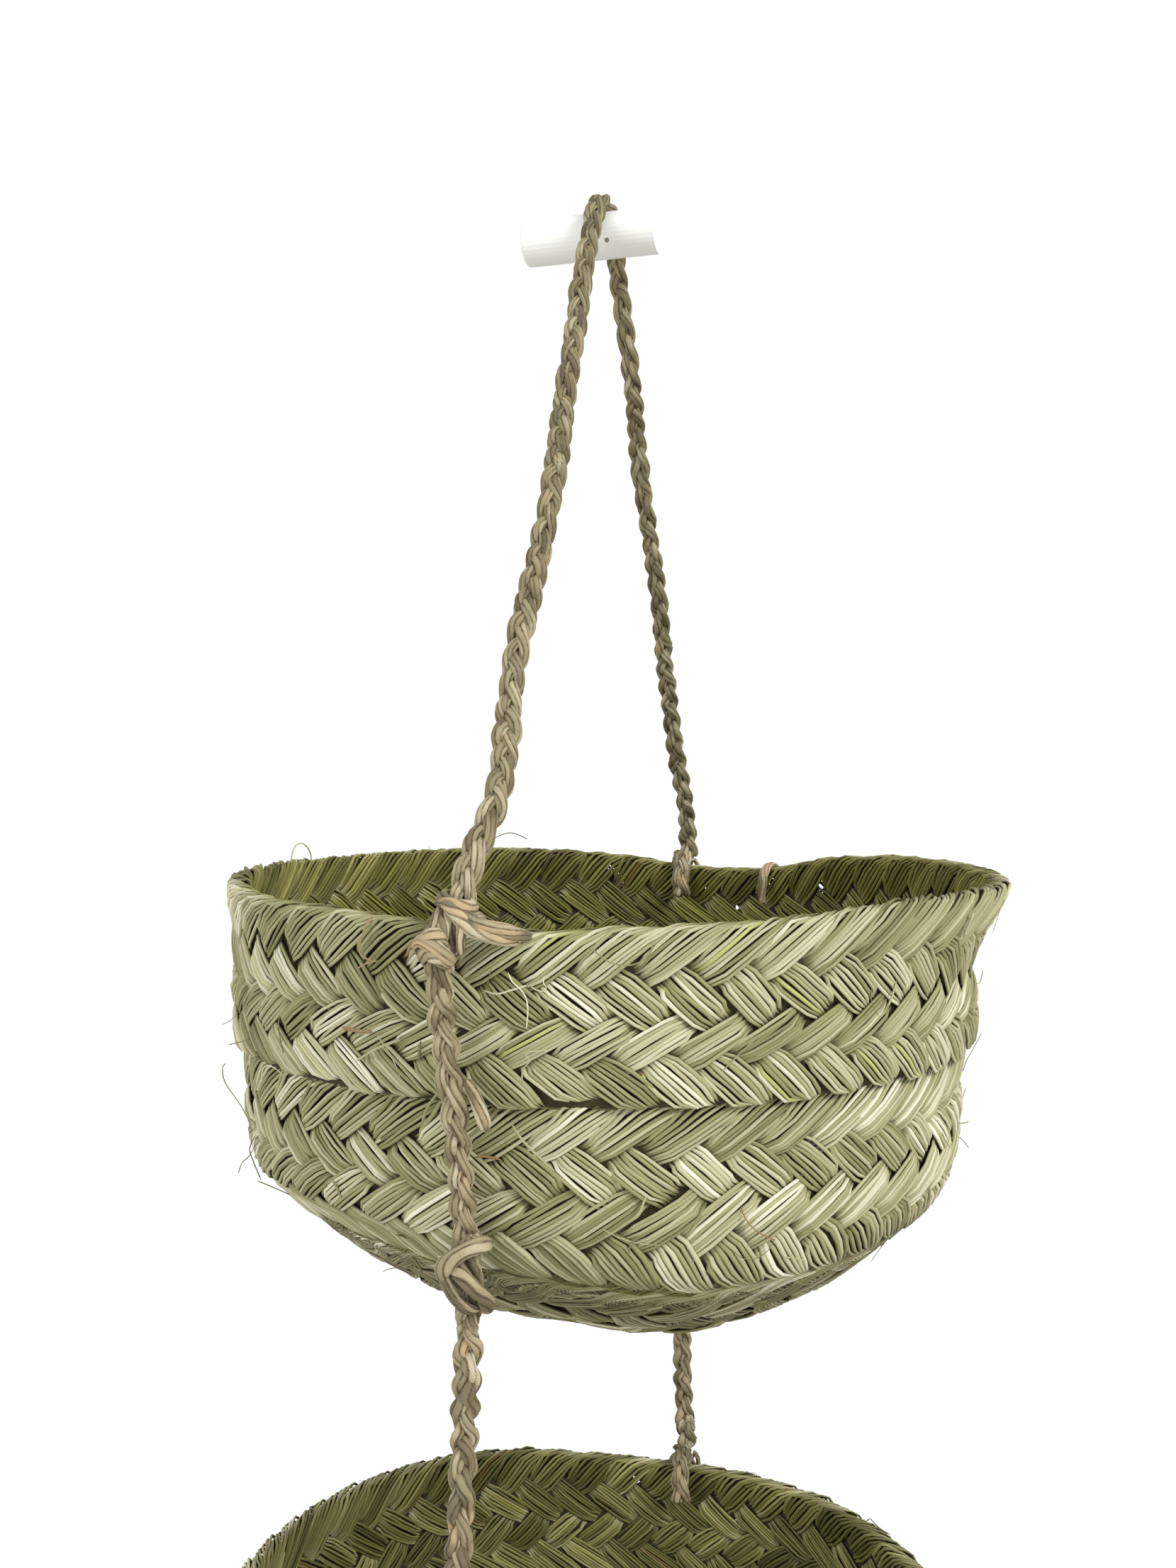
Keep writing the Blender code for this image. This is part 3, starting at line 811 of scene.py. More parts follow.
def shade_sheet_material(look):
    """Painted shade deep inside the plait: dark olive brown, lighter in soft patches."""
    board = Board("shaded_straw", 0.85)
    cloud = board.noise(160.0, 3.0, 0.6)
    grain = board.noise(900.0, 3.0, 0.6)
    hue = board.mix((cloud - 0.35) * 1.8, full(look.shade_sheet_dark), full(look.shade_sheet_light))
    board.feed("Base Color", hue)
    board.feed("Roughness", 0.75 + grain * 0.2)
    board.bump(grain, 0.5, 0.0005)
    return board.material


def leaf_material(look):
    """Dry palm leaf of the ropes: greige with peach strips and fine lengthwise veins, with painted
    shade that darkens it in the creases and above the basket.
    """
    board = Board("palm_leaf", 0.66)
    tint = board.attribute("tint")
    peach = board.attribute("peach")
    place = board.vector(board.attribute("vein") * 2600.0, board.attribute("run") * 70.0, tint * 9.0)
    fibre = board.noise(1.0, 3.0, 0.6, place=place)
    cloud = board.noise(60.0, 3.0, 0.55)
    hue = board.ramp(tint, [
        (0.0, look.leaf_shade), (0.4, look.leaf_middle), (0.8, look.leaf_light),
        (1.0, look.leaf_pale)])
    hue = board.mix(((peach - 0.55) * 2.4).most(0.0).least(0.8), hue, full(look.leaf_peach))
    hue = board.mix(((cloud - 0.52) * 2.0).most(0.0), hue, full(look.leaf_green))
    hue = board.mix(((fibre - 0.48) * 1.6).most(0.0).least(0.7), hue, full(look.leaf_brown))
    # Painted shade: the rope high up, above the basket, is made darker and greener
    height = board.height()
    high = ((height + 0.24) * 9.0).most(0.0).least(1.0)
    hue = board.mix(high, hue, board.times(hue, look.upper_rope_shade))
    # Painted shade in the creases between strips and towards the braid's middle
    hue = crevice(board, hue, look.leaf_crevice_shade, 0.58, 1.8)
    board.feed("Base Color", hue)
    board.feed("Roughness", 0.52 + fibre * 0.25)
    board.bump(fibre + board.noise(330.0, 3.0, 0.6) * 2.0, 0.6, 0.0006)
    return board.material


def paint_material(look):
    """Matt off-white paint on the wooden peg, with faint brush marks and grime."""
    board = Board("peg_paint", 0.55)
    grain = board.noise(260.0, 4.0, 0.6, (1.0, 0.10, 1.0))
    cloud = board.noise(55.0, 3.0, 0.5)
    hue = board.mix((cloud - 0.45) * 1.2, full(look.paint), full(look.paint_shade))
    hue = board.mix((grain - 0.60).most(0.0) * 1.4, hue, full(look.paint_grime))
    dot = ((1.1 * MM - board.distance(look.dot)) / (0.4 * MM)).most(0.0).least(0.85)
    hue = board.mix(dot, hue, full(look.dot_colour))
    board.feed("Base Color", hue)
    board.feed("Roughness", 0.48 + grain * 0.2)
    board.bump(grain, 0.18, 0.0003)
    return board.material


# Settings

def length_setting(name, description, default):
    """A setting for a length."""
    return bpy.props.FloatProperty(
        name=name, description=description, default=default, unit="LENGTH", precision=5)


def share_setting(name, description, default, most=1.0):
    """A setting for a share of something."""
    return bpy.props.FloatProperty(
        name=name, description=description, default=default, min=0.0, max=most, subtype="FACTOR")


def cast_setting(name, description, default):
    """A setting for a linear colour, such as one that others are multiplied by."""
    return bpy.props.FloatVectorProperty(
        name=name, description=description, default=default, subtype="COLOR")


def colour_setting(name, description, steps):
    """A setting for a colour written in 0 to 255 steps of sRGB."""
    return cast_setting(name, description, linear(steps))


class BasketPlaitSettings(bpy.types.PropertyGroup):
    """Sizes and colours of the plaited grass."""

    stems_per_strand: bpy.props.IntProperty(
        name="Stems per strand", description="Grass stems side by side in a strand",
        default=8, min=5, max=10)
    stem_radius: length_setting("Stem radius", "Half the thickness of one grass stem", 0.79 * MM)
    crown: length_setting("Crown", "How far the middle stems of a strand stand proud", 0.55 * MM)
    pinch: share_setting("Pinch", "How much a strand narrows where it dives under", 0.24, most=0.6)
    splay: share_setting(
        "Splay", "How much a strand widens where it folds over the upper edge", 0.6)
    lean: bpy.props.FloatProperty(
        name="Lean", description="How far the plait leans along the course",
        default=0.22, min=-1.0, max=1.0)
    strand_drift: length_setting("Strand drift", "How far whole strands wander", 0.42 * MM)
    stem_drift: length_setting("Stem drift", "How far single stems wander", 0.20 * MM)
    ragged: length_setting(
        "Ragged edge", "How unevenly the strands end at a course's lower edge", 1.3 * MM)
    lumps: length_setting(
        "Lumps", "How far strands stand up where a course is roughly made", 1.3 * MM)
    fold_step: length_setting(
        "Fold step", "How unequal the heights are at which stems fold over", 1.2 * MM)
    stray_count: bpy.props.IntProperty(
        name="Stray fibres", description="Loose fibres and broken ends on each basket",
        default=150, min=0, max=600)
    odd_share: share_setting(
        "Odd stems", "Share of stems that are brown or yellow in places", 0.024)
    odd_brown: colour_setting("Brown stems", "Colour of the odd brown stems", (150, 116, 76))
    odd_yellow: colour_setting(
        "Odd yellow stems", "Colour of the odd yellow-green stems", (180, 182, 108))
    stem_shade: colour_setting("Shade stems", "Colour of the darkest stems", (106, 103, 60))
    stem_middle: colour_setting("Middle stems", "Colour of most stems", (149, 145, 102))
    stem_light: colour_setting("Light stems", "Colour of the lighter stems", (195, 191, 157))
    stem_pale: colour_setting("Pale stems", "Colour of the palest stems", (240, 237, 214))
    stem_yellow: colour_setting("Yellow stems", "Colour of the few yellow stems", (200, 192, 122))
    stem_green: colour_setting(
        "Green cast", "Colour that drifts over the stems in clouds", (150, 152, 103))
    stem_brown: colour_setting("Brown flecks", "Colour of small brown flecks", (118, 92, 56))
    # Painted shade on the side that faces the basket's inside
    inside_shade_cast: cast_setting(
        "Inside cast", "Olive cast of the side that faces the inside", (0.345, 0.32, 0.028))
    # Painted shade on the sides where stems press together
    crevice_shade_cast: cast_setting(
        "Crevice cast", "Cast of the sides where stems press together", (0.115, 0.085, 0.003))
    # Colours of the sheet of painted shade deep inside the plait
    shade_sheet_dark: colour_setting("Core shade", "Darkest colour deep inside the plait", (42, 34, 12))
    shade_sheet_light: colour_setting("Core straw", "Lighter colour deep inside the plait", (74, 66, 28))
    # How strongly that painted inside shade is laid on
    inside_shade_share: share_setting(
        "Inside share", "How strongly the inside is greener and darker", 0.9)


class BasketRopeSettings(bpy.types.PropertyGroup):
    """Sizes and colours of the braided leaf ropes."""

    braid_step: length_setting("Braid step", "Distance between the points of a braid", 0.8 * MM)
    braid_period: length_setting(
        "Braid period", "Length of rope in which each strand goes once across", 30 * MM)
    leaves: bpy.props.IntProperty(
        name="Leaves", description="Leaf strips in each strand of the braid",
        default=5, min=3, max=6)
    leaf_twist: bpy.props.FloatProperty(
        name="Leaf twist", description="How far the strips wind along a strand, in radians a metre",
        default=70.0, min=0.0, max=300.0)
    crease: share_setting("Crease", "Depth of the creases between leaf strips", 0.24, most=0.6)
    leaf_shade: colour_setting("Shade leaf", "Colour of the darkest leaf strips", (106, 96, 68))
    leaf_middle: colour_setting("Middle leaf", "Colour of most leaf strips", (146, 135, 102))
    leaf_light: colour_setting("Light leaf", "Colour of the lighter leaf strips", (172, 161, 128))
    leaf_pale: colour_setting("Pale leaf", "Colour of the palest leaf strips", (196, 187, 158))
    leaf_peach: colour_setting("Peach leaf", "Colour of the peach strips", (190, 164, 126))
    # Painted shade on the rope above the basket
    upper_rope_shade: cast_setting(
        "Upper rope cast", "Greener, darker cast of the rope above the basket", (0.74, 0.74, 0.66))
    leaf_green: colour_setting(
        "Green leaf", "Colour of the greenish parts of the leaf", (146, 146, 112))
    # Painted shade in the creases between leaf strips
    leaf_crevice_shade: cast_setting(
        "Crevice cast", "Cast of the sides where strips press together", (0.17, 0.125, 0.06))
    leaf_brown: colour_setting(
        "Brown veins", "Colour of the fine veins", (112, 92, 66))


class BasketPegSettings(bpy.types.PropertyGroup):
    """Colours of the painted peg."""

    paint: colour_setting("Paint", "Colour of the paint", (241, 242, 239))
    paint_shade: colour_setting(
        "Paint shade", "Colour of the paint where it is thin", (234, 236, 232))
    dot: bpy.props.FloatVectorProperty(
        name="Dark dot", description="Place of the small dark dot on the paint",
        default=(7.8 * MM, -18.8 * MM, -4.5 * MM), subtype="TRANSLATION", unit="LENGTH", precision=5)
    dot_colour: colour_setting("Dot colour", "Colour of the small dark dot", (84, 72, 58))
    paint_grime: colour_setting(
        "Grime", "Colour of the faint grime in the brush marks", (217, 218, 212))


# Listed shapes

# Unevenness of each basket: angle in degrees from the front, then, in millimetres, how far
# the rim stands out and up from a true circle, how far the middle of the side stands out,
# and how far the corner is pushed in and up
UPPER_UNEVEN = np.array((
    (0, 0, 1.5, 0, 4.4), (10, 0, 1.5, 0, 3.4), (20, 0, 3.0, 0, 0.5), (30, 0.5, 3.8, 0, -1.6),
    (42, 1.2, 5.0, 0, -0.6), (50, 1.8, 6.5, 0, 0.0), (60, 3.0, 8.5, -0.8, 1.2),
    (75, 6.0, 9.0, -3.0, 1.8), (90, 9.5, 9.0, -6.0, 1.6), (102, 10.5, 10.0, -6.0, 1.6),
    (120, 5.0, 12.0, -3.0, 1.0), (135, 2.5, 12.0, 0, 0), (150, 1.0, 9.5, 0, 0),
    (158, 0, 5.0, 0, 0), (165, 0, 2.2, 0, 0), (174, 0, 2.0, 0, 0), (182, 0, 3.6, 0, 0),
    (190, 0, 6.8, 0, 0), (200, 0, 9.6, 0, 0), (215, 0, 11.4, 0, 0), (230, 0, 12.0, 0, 0),
    (250, 0, 11.2, 0, 1), (270, 0, 11.0, 0, 2.0), (290, -1.0, 10.5, 0, 5.0),
    (302, -2.0, 9.0, -1.0, 5.5), (310, -1.5, 7.4, -1.0, 6.8), (325, 0, 6.6, 0, 8.0),
    (335, 0, 6.2, 0, 8.2), (345, 0, 5.4, 0, 7.0), (352, 0, 4.0, 0, 5.4),
), float)
LOWER_UNEVEN = np.array((
    (0, 1, 0.5, 0, 0), (20, 1, 1.5, 0, 0), (60, 0, 2, 0, 2), (90, 0, 2, 0, 0),
    (130, 3, 1.5, 0, 0), (150, 3, 3.6, 0, 2), (160, 3, 2.4, 0, 0), (170, 3, 2, 0, 0),
    (180, 3, 1.0, 0, -1), (190, 3, 1.8, 0, 0), (200, 3, 3.6, 0, 2), (210, 3, 7.0, 0, 0),
    (220, 3, 9.0, 0, 0), (230, 3, 10.6, 0, 0), (245, 3, 11.6, 0, 2), (260, 3, 12, 0, 0),
    (280, 3, 11.4, 0, 0), (310, 2, 8, 0, 2), (340, 1, 3, 0, 0),
), float)

# Where each basket's plait lies: its body, rim height, middle, unevenness, the share of
# its core sheet of painted shade that light comes through, and how strong the painted
# shade on its inside is
Place = namedtuple("Place", "word body rim_z axis_y uneven light shade")
UPPER = Place("upper", "upper_basket", UPPER_RIM_Z, AXIS_Y, UPPER_UNEVEN, 0.05, 1.0)
LOWER = Place("lower", "lower_basket", LOWER_RIM_Z, AXIS_Y - 4 * MM, LOWER_UNEVEN, 0.01, 0.88)

# Rope routes: distance from the basket's axis, sideways and height, in millimetres
PEG_BEND = 13.2
FRONT_LEG = ((34, 0.5, -36), (60, 2.4, -88), (79.5, 3.0, -127), (104, 0.8, -175),
             (124.5, 3.2, -216), (136.5, 0.4, -235), (143.0, -1.6, -246), (145.0, -2.4, -255))
BACK_LEG = ((34.5, 0.4, -38), (59.5, -0.8, -86), (85, 0.6, -138), (110, -0.6, -188),
            (131, 0.8, -226), (142.0, 0.0, -246), (144.5, 0.0, -256))
LEG_WIDTHS = (9.2, 9.0, 8.6, 8.2, 7.8, 7.8, 8.0, 8.4, 8.8)
WALL_RUN = ((154.0, -4.6, -3), (155.6, -4.8, -9), (155.5, -4.8, -16), (154.6, -4.2, -27),
            (153.2, -3.2, -40), (152.0, -2.6, -48), (149.4, -2.0, -60), (147.0, -1.5, -73),
            (145.6, -1.2, -86), (144.2, -0.8, -96), (142.4, -0.4, -103))
RIM_OVER = ((134.0, -1.4, -13), (134.0, -1.6, -4), (137.0, -2.0, 3.2), (143.5, -2.6, 6.4),
            (150.4, -3.4, 3.8), (154.2, -4.2, -4), (155.0, -4.6, -12))
# The front's two knots: the turns round the leg that run out along the rim, the strands
# over the rim, and the turns on the rim's outer face
FRONT_TURNS = (
    ((139.5, -5.6, 7.0), (143.0, -8.6, 8.0), (149.0, -7.8, 9.8), (152.2, -3.4, 9.3),
     (152.0, 1.6, 8.2), (148.0, 3.4, 8.3), (141.0, -1.0, 9.6), (140.5, -6.8, 10.4),
     (147.0, -7.7, 11.4), (152.6, -3.3, 9.0), (154.0, 0.4, 5.8), (154.6, 3.0, 3.4),
     (155.0, 6.0, 1.4), (154.2, 10.4, -0.4), (151.0, 14.6, -2.0), (144.0, 19.2, -3.4)),
    ((151.0, 0.6, 7.2), (153.0, 3.2, 5.4), (154.4, 6.6, 3.6), (154.2, 11.0, 2.4),
     (152.2, 15.0, 1.6), (148.6, 18.8, 0.0), (142.6, 22.6, -2.4)),
)
FRONT_OVER = (
    ((147.0, -6.8, 9.0), (150.6, -7.0, 6.4), (154.0, -6.8, 3.2), (156.4, -7.2, 0.0),
     (157.0, -8.4, -3.0)),
    ((148.0, -2.8, 7.4), (152.6, -3.6, 4.6), (155.8, -3.4, 1.0), (157.0, -3.0, -3.6)),
    ((151.0, 1.0, 4.6), (154.6, 2.0, 1.2), (155.6, 2.4, -3.0), (154.8, 2.0, -6.6)),
)
FRONT_KNOT = (
    ((151.5, -6.0, -6.4), (154.0, -10.6, -5.6), (157.0, -11.8, -3.2), (159.8, -9.0, -1.4),
     (160.6, -5.4, -2.6), (160.4, -2.0, -5.2), (158.2, 0.4, -8.0), (153.5, -1.4, -8.4)),
    ((154.0, -11.0, -3.6), (158.6, -8.4, -0.6), (159.6, -5.2, 0.6), (157.4, -3.0, -0.6),
     (153.4, -4.0, -5.2), (153.8, -9.2, -8.4), (157.8, -9.8, -6.8), (160.6, -6.4, -5.4),
     (160.8, -3.0, -7.0), (157.0, -0.6, -10.2)),
)
KNOT_MIDDLE = (155.0, -5.2, -5.0)
BOTTOM_TURNS = (
    ((139.5, -6.6, -112.0), (144.0, -8.6, -109.5), (148.6, -6.8, -104.5), (151.0, -2.2, -99.8),
     (150.4, 3.0, -96.6), (146.0, 6.6, -96.0), (140.0, 6.0, -98.0)),
    ((140.0, -5.0, -100.0), (146.0, -4.6, -100.6), (149.4, -1.2, -104.0), (150.2, 3.4, -108.0),
     (147.4, 6.9, -112.6), (143.0, 5.4, -117.6), (139.5, 2.0, -119.5)),
    ((139.5, -7.0, -103.0), (145.6, -7.0, -107.6), (148.4, -3.4, -112.4), (146.8, 1.0, -116.6),
     (141.0, 2.6, -118.0)),
)
BOTTOM_RUN = ((143.6, -0.8, -92), (143.2, -0.4, -102), (142.6, -0.4, -111), (142.2, -0.6, -119),
              (142.0, -0.6, -125.5))
BOTTOM_MIDDLE = (126.0, 0, -104.0)
LASH_MIDDLE = (146.0, -2.0, 5.0)
CUT_TAIL = ((152.0, 2.4, -44), (152.0, 5.2, -49), (150.6, 7.0, -55), (149.4, 7.8, -61))
# The tie round the rim at the back: its angle from the front in degrees, then distance from
# the axis and height
BACK_TIE_TURN = 163
BACK_TIE = ((134.6, -15), (134.8, -6), (137.4, 0.8), (143.5, 3.4), (149.4, 1.0), (152.0, -5),
            (152.2, -14))
# Widths of the braids, then of the single strands, in millimetres
ROPE_WIDTH, OVER_WIDTH, WALL_WIDTH = 9.0, 8.8, 8.6
BOTTOM_WIDTH, TIE_WIDTH, OVER_STRAND, LASH_WIDTH = 5.6, 4.8, 4.6, 4.4
# Seam cords: the course above each, its distance from the axis and its depth below the rim,
# in millimetres, and the sizes of the three stems twisted into it
SEAMS = (("rim", 137.8, 54.0), ("wall", 131.6, 102.0), ("corner", 90.0, 140.2),
         ("base", 47.0, 140.8))
TWINE_STEP, TWINE_PITCH, TWINE_OFF, TWINE_RADIUS = 3.2 * MM, 16 * MM, 0.85 * MM, 0.8 * MM
# Stray fibres and broken ends seen on the upper basket: thickness, whether brown, then
# angle from the front in degrees, distance from the axis and height in millimetres
STRAYS = (
    (0.22, 0, (-49, 140, -80.7), (-53.7, 142.4, -75.1), (-58.5, 147.4, -68.8),
     (-58.4, 148.4, -63.3), (-56, 147.5, -60.0)),
    (0.2, 0, (-46.2, 140, -84.7), (-48.1, 141.5, -90.3), (-50.2, 143.1, -93.9),
     (-57.8, 142.8, -102.7)),
    (0.2, 0, (-48.3, 139, -82.8), (-46.4, 142.4, -86.7), (-44.8, 141.9, -90.9), (-46.9, 138, -98.9)),
    (0.18, 0, (-42.2, 145, -45.1), (-44.5, 147.1, -47.1), (-48.5, 148.8, -49.7)),
    (0.3, 0, (-92.8, 143.5, -0.7), (-90.9, 141.1, 8.7), (-91, 139.3, 16), (-93.4, 138.5, 17),
     (-96.6, 139.8, 12), (-97.3, 141.8, 4), (-94.4, 143.5, 1)),
    (0.16, 0, (-126.3, 139.3, 13.4), (-128, 140.7, 7.5), (-130.1, 141.1, 5.2), (-132.8, 142.8, 6)),
    (0.3, 0, (2.3, 147.6, -17.5), (4.4, 150.1, -18.2), (6.5, 150.4, -16.6), (8.1, 147.8, -15.5)),
    (0.22, 0, (7.7, 146.7, -29.7), (8.1, 149.8, -21.8), (7.6, 150.4, -17.4), (6.3, 150.2, -14.3),
     (5.7, 149.6, -11.2)),
    (0.2, 0, (2.8, 148, -17), (3.5, 150.1, -13.5), (3.9, 151.3, -10)),
    (0.2, 0, (8.1, 148, -15.5), (9.4, 149.9, -17), (10.4, 150.4, -16.4), (9.9, 150.8, -13.8),
     (10.2, 149.8, -12)),
    (0.34, 1, (-13.1, 146.6, 3.8), (-13.4, 150.2, -1.6), (-13.8, 150.5, -8.1), (-12, 148.6, -10.8)),
    (0.26, 1, (-15.2, 148, -13.7), (-13.1, 150.2, -11.3), (-11.1, 149.7, -9.9)),
    (0.62, 1, (-18.2, 146.6, -33.1), (-15.4, 148.6, -33), (-12.2, 149, -32.8)),
    (0.5, 0, (-15.9, 146, -43.4), (-12, 148.9, -38.2), (-8.5, 147, -34.4)),
    (0.5, 0, (-6.8, 142, -61.5), (-5, 146.2, -54.9), (-3.3, 145.2, -49)),
    (0.5, 0, (5.3, 142, -59.4), (7.2, 144.6, -64.3), (9.8, 143.6, -70.8), (10.9, 140.6, -74.4)),
    (0.24, 0, (7, 145.3, -46.3), (7.4, 148.1, -41.1), (8.3, 148.6, -38.6), (7.7, 149, -36),
     (10.5, 146.5, -35.4)),
    (0.22, 0, (-140.5, 144, 14.5), (-144.8, 146, 17.6), (-148.3, 144, 14.2)),
)
# The stage, in metres: the floor's half side, its depth below the part and its colour, the
# brightness of the surroundings, and the lamps' places, sides and watts and where they aim
FLOOR_HALF = 12.0
FLOOR_BELOW = 0.35
FLOOR_COLOUR = (0.80, 0.79, 0.75)
SURROUNDINGS = 0.73
LAMPS = (("key_lamp", (1.05, 1.95, 1.1), 0.9, 47), ("fill_lamp", (1.7, -1.6, 0.4), 1.6, 20))
LAMPS_AIM = (0, 0, -0.3)
# The camera, from the middle of the upper rim: away, above and to the left in millimetres,
# and turned from the front and tipped in degrees; then its film and its lens, which is
# given in pixels of the picture's height
CAMERA_AWAY, CAMERA_ABOVE, CAMERA_LEFT = 605, 52, 6.2
CAMERA_TURN, CAMERA_TIP = 17.5, -0.8
FILM, LENS_LENGTH, PICTURE_HEIGHT = 36.0, 2135, 2212
# Outer skin of a basket: depth below the rim and distance from the axis in millimetres
SKIN = ((-1, 144), (0, 147.4), (10, 148), (25, 147.4), (53, 144.4), (60, 140.8), (86, 139.8),
        (104, 137.0), (111, 131), (119, 124), (128, 114), (136, 103), (142, 90), (144, 60), (144, 20))


def side_point(side, row, base_z=0.0):
    """A route's place on the front (+1) or back (-1) side."""
    out, sideways, height = (value * MM for value in row)
    return (side * out, AXIS_Y + sideways, base_z + height)


def dress(piece, body, nodes, material):
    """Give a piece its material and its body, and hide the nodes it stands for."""
    piece.data.materials.clear()
    piece.data.materials.append(material)
    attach(piece, body)
    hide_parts(*nodes)
    return piece


def shared_material(name, maker, look):
    """The material of that name, made when it is first asked for."""
    return bpy.data.materials.get(name) or maker(look)


def grass():
    """The material of the stems."""
    return shared_material("esparto_stems", grass_material, bpy.context.scene.basket_plait)


def shade_sheet_paint():
    """The material of the sheet of painted shade inside the plait."""
    return shared_material("shaded_straw", shade_sheet_material, bpy.context.scene.basket_plait)


def leaf():
    """The material of the ropes."""
    return shared_material("palm_leaf", leaf_material, bpy.context.scene.basket_rope)


def make_basket(place, seed):
    """All the courses of one basket."""
    look = bpy.context.scene.basket_plait
    for course in COURSES:
        node = place.word + ("_base_centre" if course == "centre" else f"_{course}_plait")
        piece = plait_object(f"{node}_stems", course, look, place, seed)
        dress(piece, place.body, [node], grass())
        # A thin dark sheet in the middle of each course: painted shade that closes the gaps between
        # the stems
        core = shade_sheet(f"{node}_core", course, place, seed + 20)
        dress(core, place.body, [node], shade_sheet_paint())
        seed += 1


# Operators

class BASKET_OT_peg(bpy.types.Operator):
    """Paint the wall peg"""

    bl_idname = "basket.peg"
    bl_label = "Wall peg"

    def execute(self, context):
        peg = frame["nodes"]["wall_peg"]
        peg.data.materials.clear()
        peg.data.materials.append(paint_material(context.scene.basket_peg))
        return {"FINISHED"}


class BASKET_OT_upper(bpy.types.Operator):
    """Plait the upper basket"""

    bl_idname = "basket.upper"
    bl_label = "Upper basket"

    def execute(self, context):
        make_basket(UPPER, 11)
        return {"FINISHED"}


class BASKET_OT_lower(bpy.types.Operator):
    """Plait the lower basket"""

    bl_idname = "basket.lower"
    bl_label = "Lower basket"

    def execute(self, context):
        make_basket(LOWER, 41)
        return {"FINISHED"}


class BASKET_OT_hanging_rope(bpy.types.Operator):
    """Braid the rope over the peg, down to both sides of the upper rim"""

    bl_idname = "basket.hanging_rope"
    bl_label = "Hanging rope"

    def execute(self, context):
        look = context.scene.basket_rope
        front = [side_point(1, row) for row in FRONT_LEG[::-1]]
        back = [side_point(-1, row) for row in BACK_LEG]
        bend = []
        for degrees in (63, 42, 20, 0, -20, -42, -63):
            turn = math.radians(degrees)
            bend.append((PEG_BEND * MM * math.sin(turn), AXIS_Y, PEG_BEND * MM * math.cos(turn)))
        widths = [width * MM for width in LEG_WIDTHS]
        piece, path, length = braid("hanging_rope", front + bend + back, widths, look, 5)
        held_rope(piece)
        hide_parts("peg_saddle_rope", "front_leg_rope", "back_leg_rope")
        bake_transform(piece)
        return {"FINISHED"}


def route(rows, side, base_z):
    """A rope's route on one side, from rows of distance out, sideways and height."""
    return [side_point(side, row, base_z) for row in rows]


def turns(name, tables, side, base_z, middle, width, look, seed):
    """A knot: strands of leaf wound on given routes round one middle."""
    centre = side_point(side, middle, base_z)
    return [
        wrap_strand(f"{name}_{k}", route(rows, side, base_z), width * MM, look, seed + k,
                    centre=centre)
        for k, rows in enumerate(tables)
    ]


def join(name, pieces):
    """One object from several meshes that lie in the same place."""
    bm = bmesh.new()
    for piece in pieces:
        bm.from_mesh(piece.data)
    for piece in pieces:
        data = piece.data
        bpy.data.objects.remove(piece)
        bpy.data.meshes.remove(data)
    joined = bmesh_object(name, bm)
    joined.data.shade_smooth()
    return joined


class BASKET_OT_upper_ties(bpy.types.Operator):
    """Braid the rope's runs over the upper rim and down the wall, and tie its knots"""

    bl_idname = "basket.upper_ties"
    bl_label = "Upper basket's ties"

    def execute(self, context):
        look = context.scene.basket_rope
        for side, word, seed in ((1, "front", 60), (-1, "back", 70)):
            tie_rim(side, word, "upper_basket", UPPER_RIM_Z, seed, look)
            wall, _, _ = braid(
                f"{word}_wall_braid", route(WALL_RUN, side, UPPER_RIM_Z), WALL_WIDTH * MM, look,
                seed + 9)
            dress(wall, "upper_basket", [f"{word}_wall_rope"], leaf())
            tied = turns(f"{word}_bottom_turn", BOTTOM_TURNS, side, UPPER_RIM_Z,
                         BOTTOM_MIDDLE, BOTTOM_WIDTH, look, seed + 12)
            middle, _, _ = braid(f"{word}_bottom_middle", route(BOTTOM_RUN, side, UPPER_RIM_Z),
                                 ROPE_WIDTH * MM, look, seed + 17)
            knot = join(f"{word}_bottom_knot_turns", [*tied, middle])
            dress(knot, "upper_basket", [f"{word}_bottom_knot"], leaf())
        tail = route(CUT_TAIL, 1, UPPER_RIM_Z)
        cut = wrap_strand("front_cut_tail", tail, TIE_WIDTH * MM, look, 91, level=(0, 1, 0))
        dress(cut, "upper_basket", ["front_rope_tail"], leaf())
        tie_lashings(look)
        return {"FINISHED"}


def tie_rim(side, word, body, rim_z, seed, look):
    """The rope over one side of a rim, with the knot below it and the turns above it."""
    lower = "" if body == "upper_basket" else "lower_"
    over, _, _ = braid(
        f"{lower}{word}_rim_over", route(RIM_OVER, side, rim_z), OVER_WIDTH * MM, look, seed)
    strands = turns(
        f"{lower}{word}_over", FRONT_OVER, side, rim_z, KNOT_MIDDLE, OVER_STRAND, look, seed + 1)
    hitch = join(f"{lower}{word}_rim_turns", [over, *strands])
    dress(hitch, body, [f"{lower}{word}_{'hitch' if lower else 'rim_hitch'}"], leaf())
    tied = turns(
        f"{lower}{word}_knot", FRONT_KNOT, side, rim_z, KNOT_MIDDLE, TIE_WIDTH, look, seed + 4)
    knot = join(f"{lower}{word}_knot_turns", tied)
    dress(knot, body, [f"{lower}{word}_{'knot' if lower else 'rim_knot'}"], leaf())


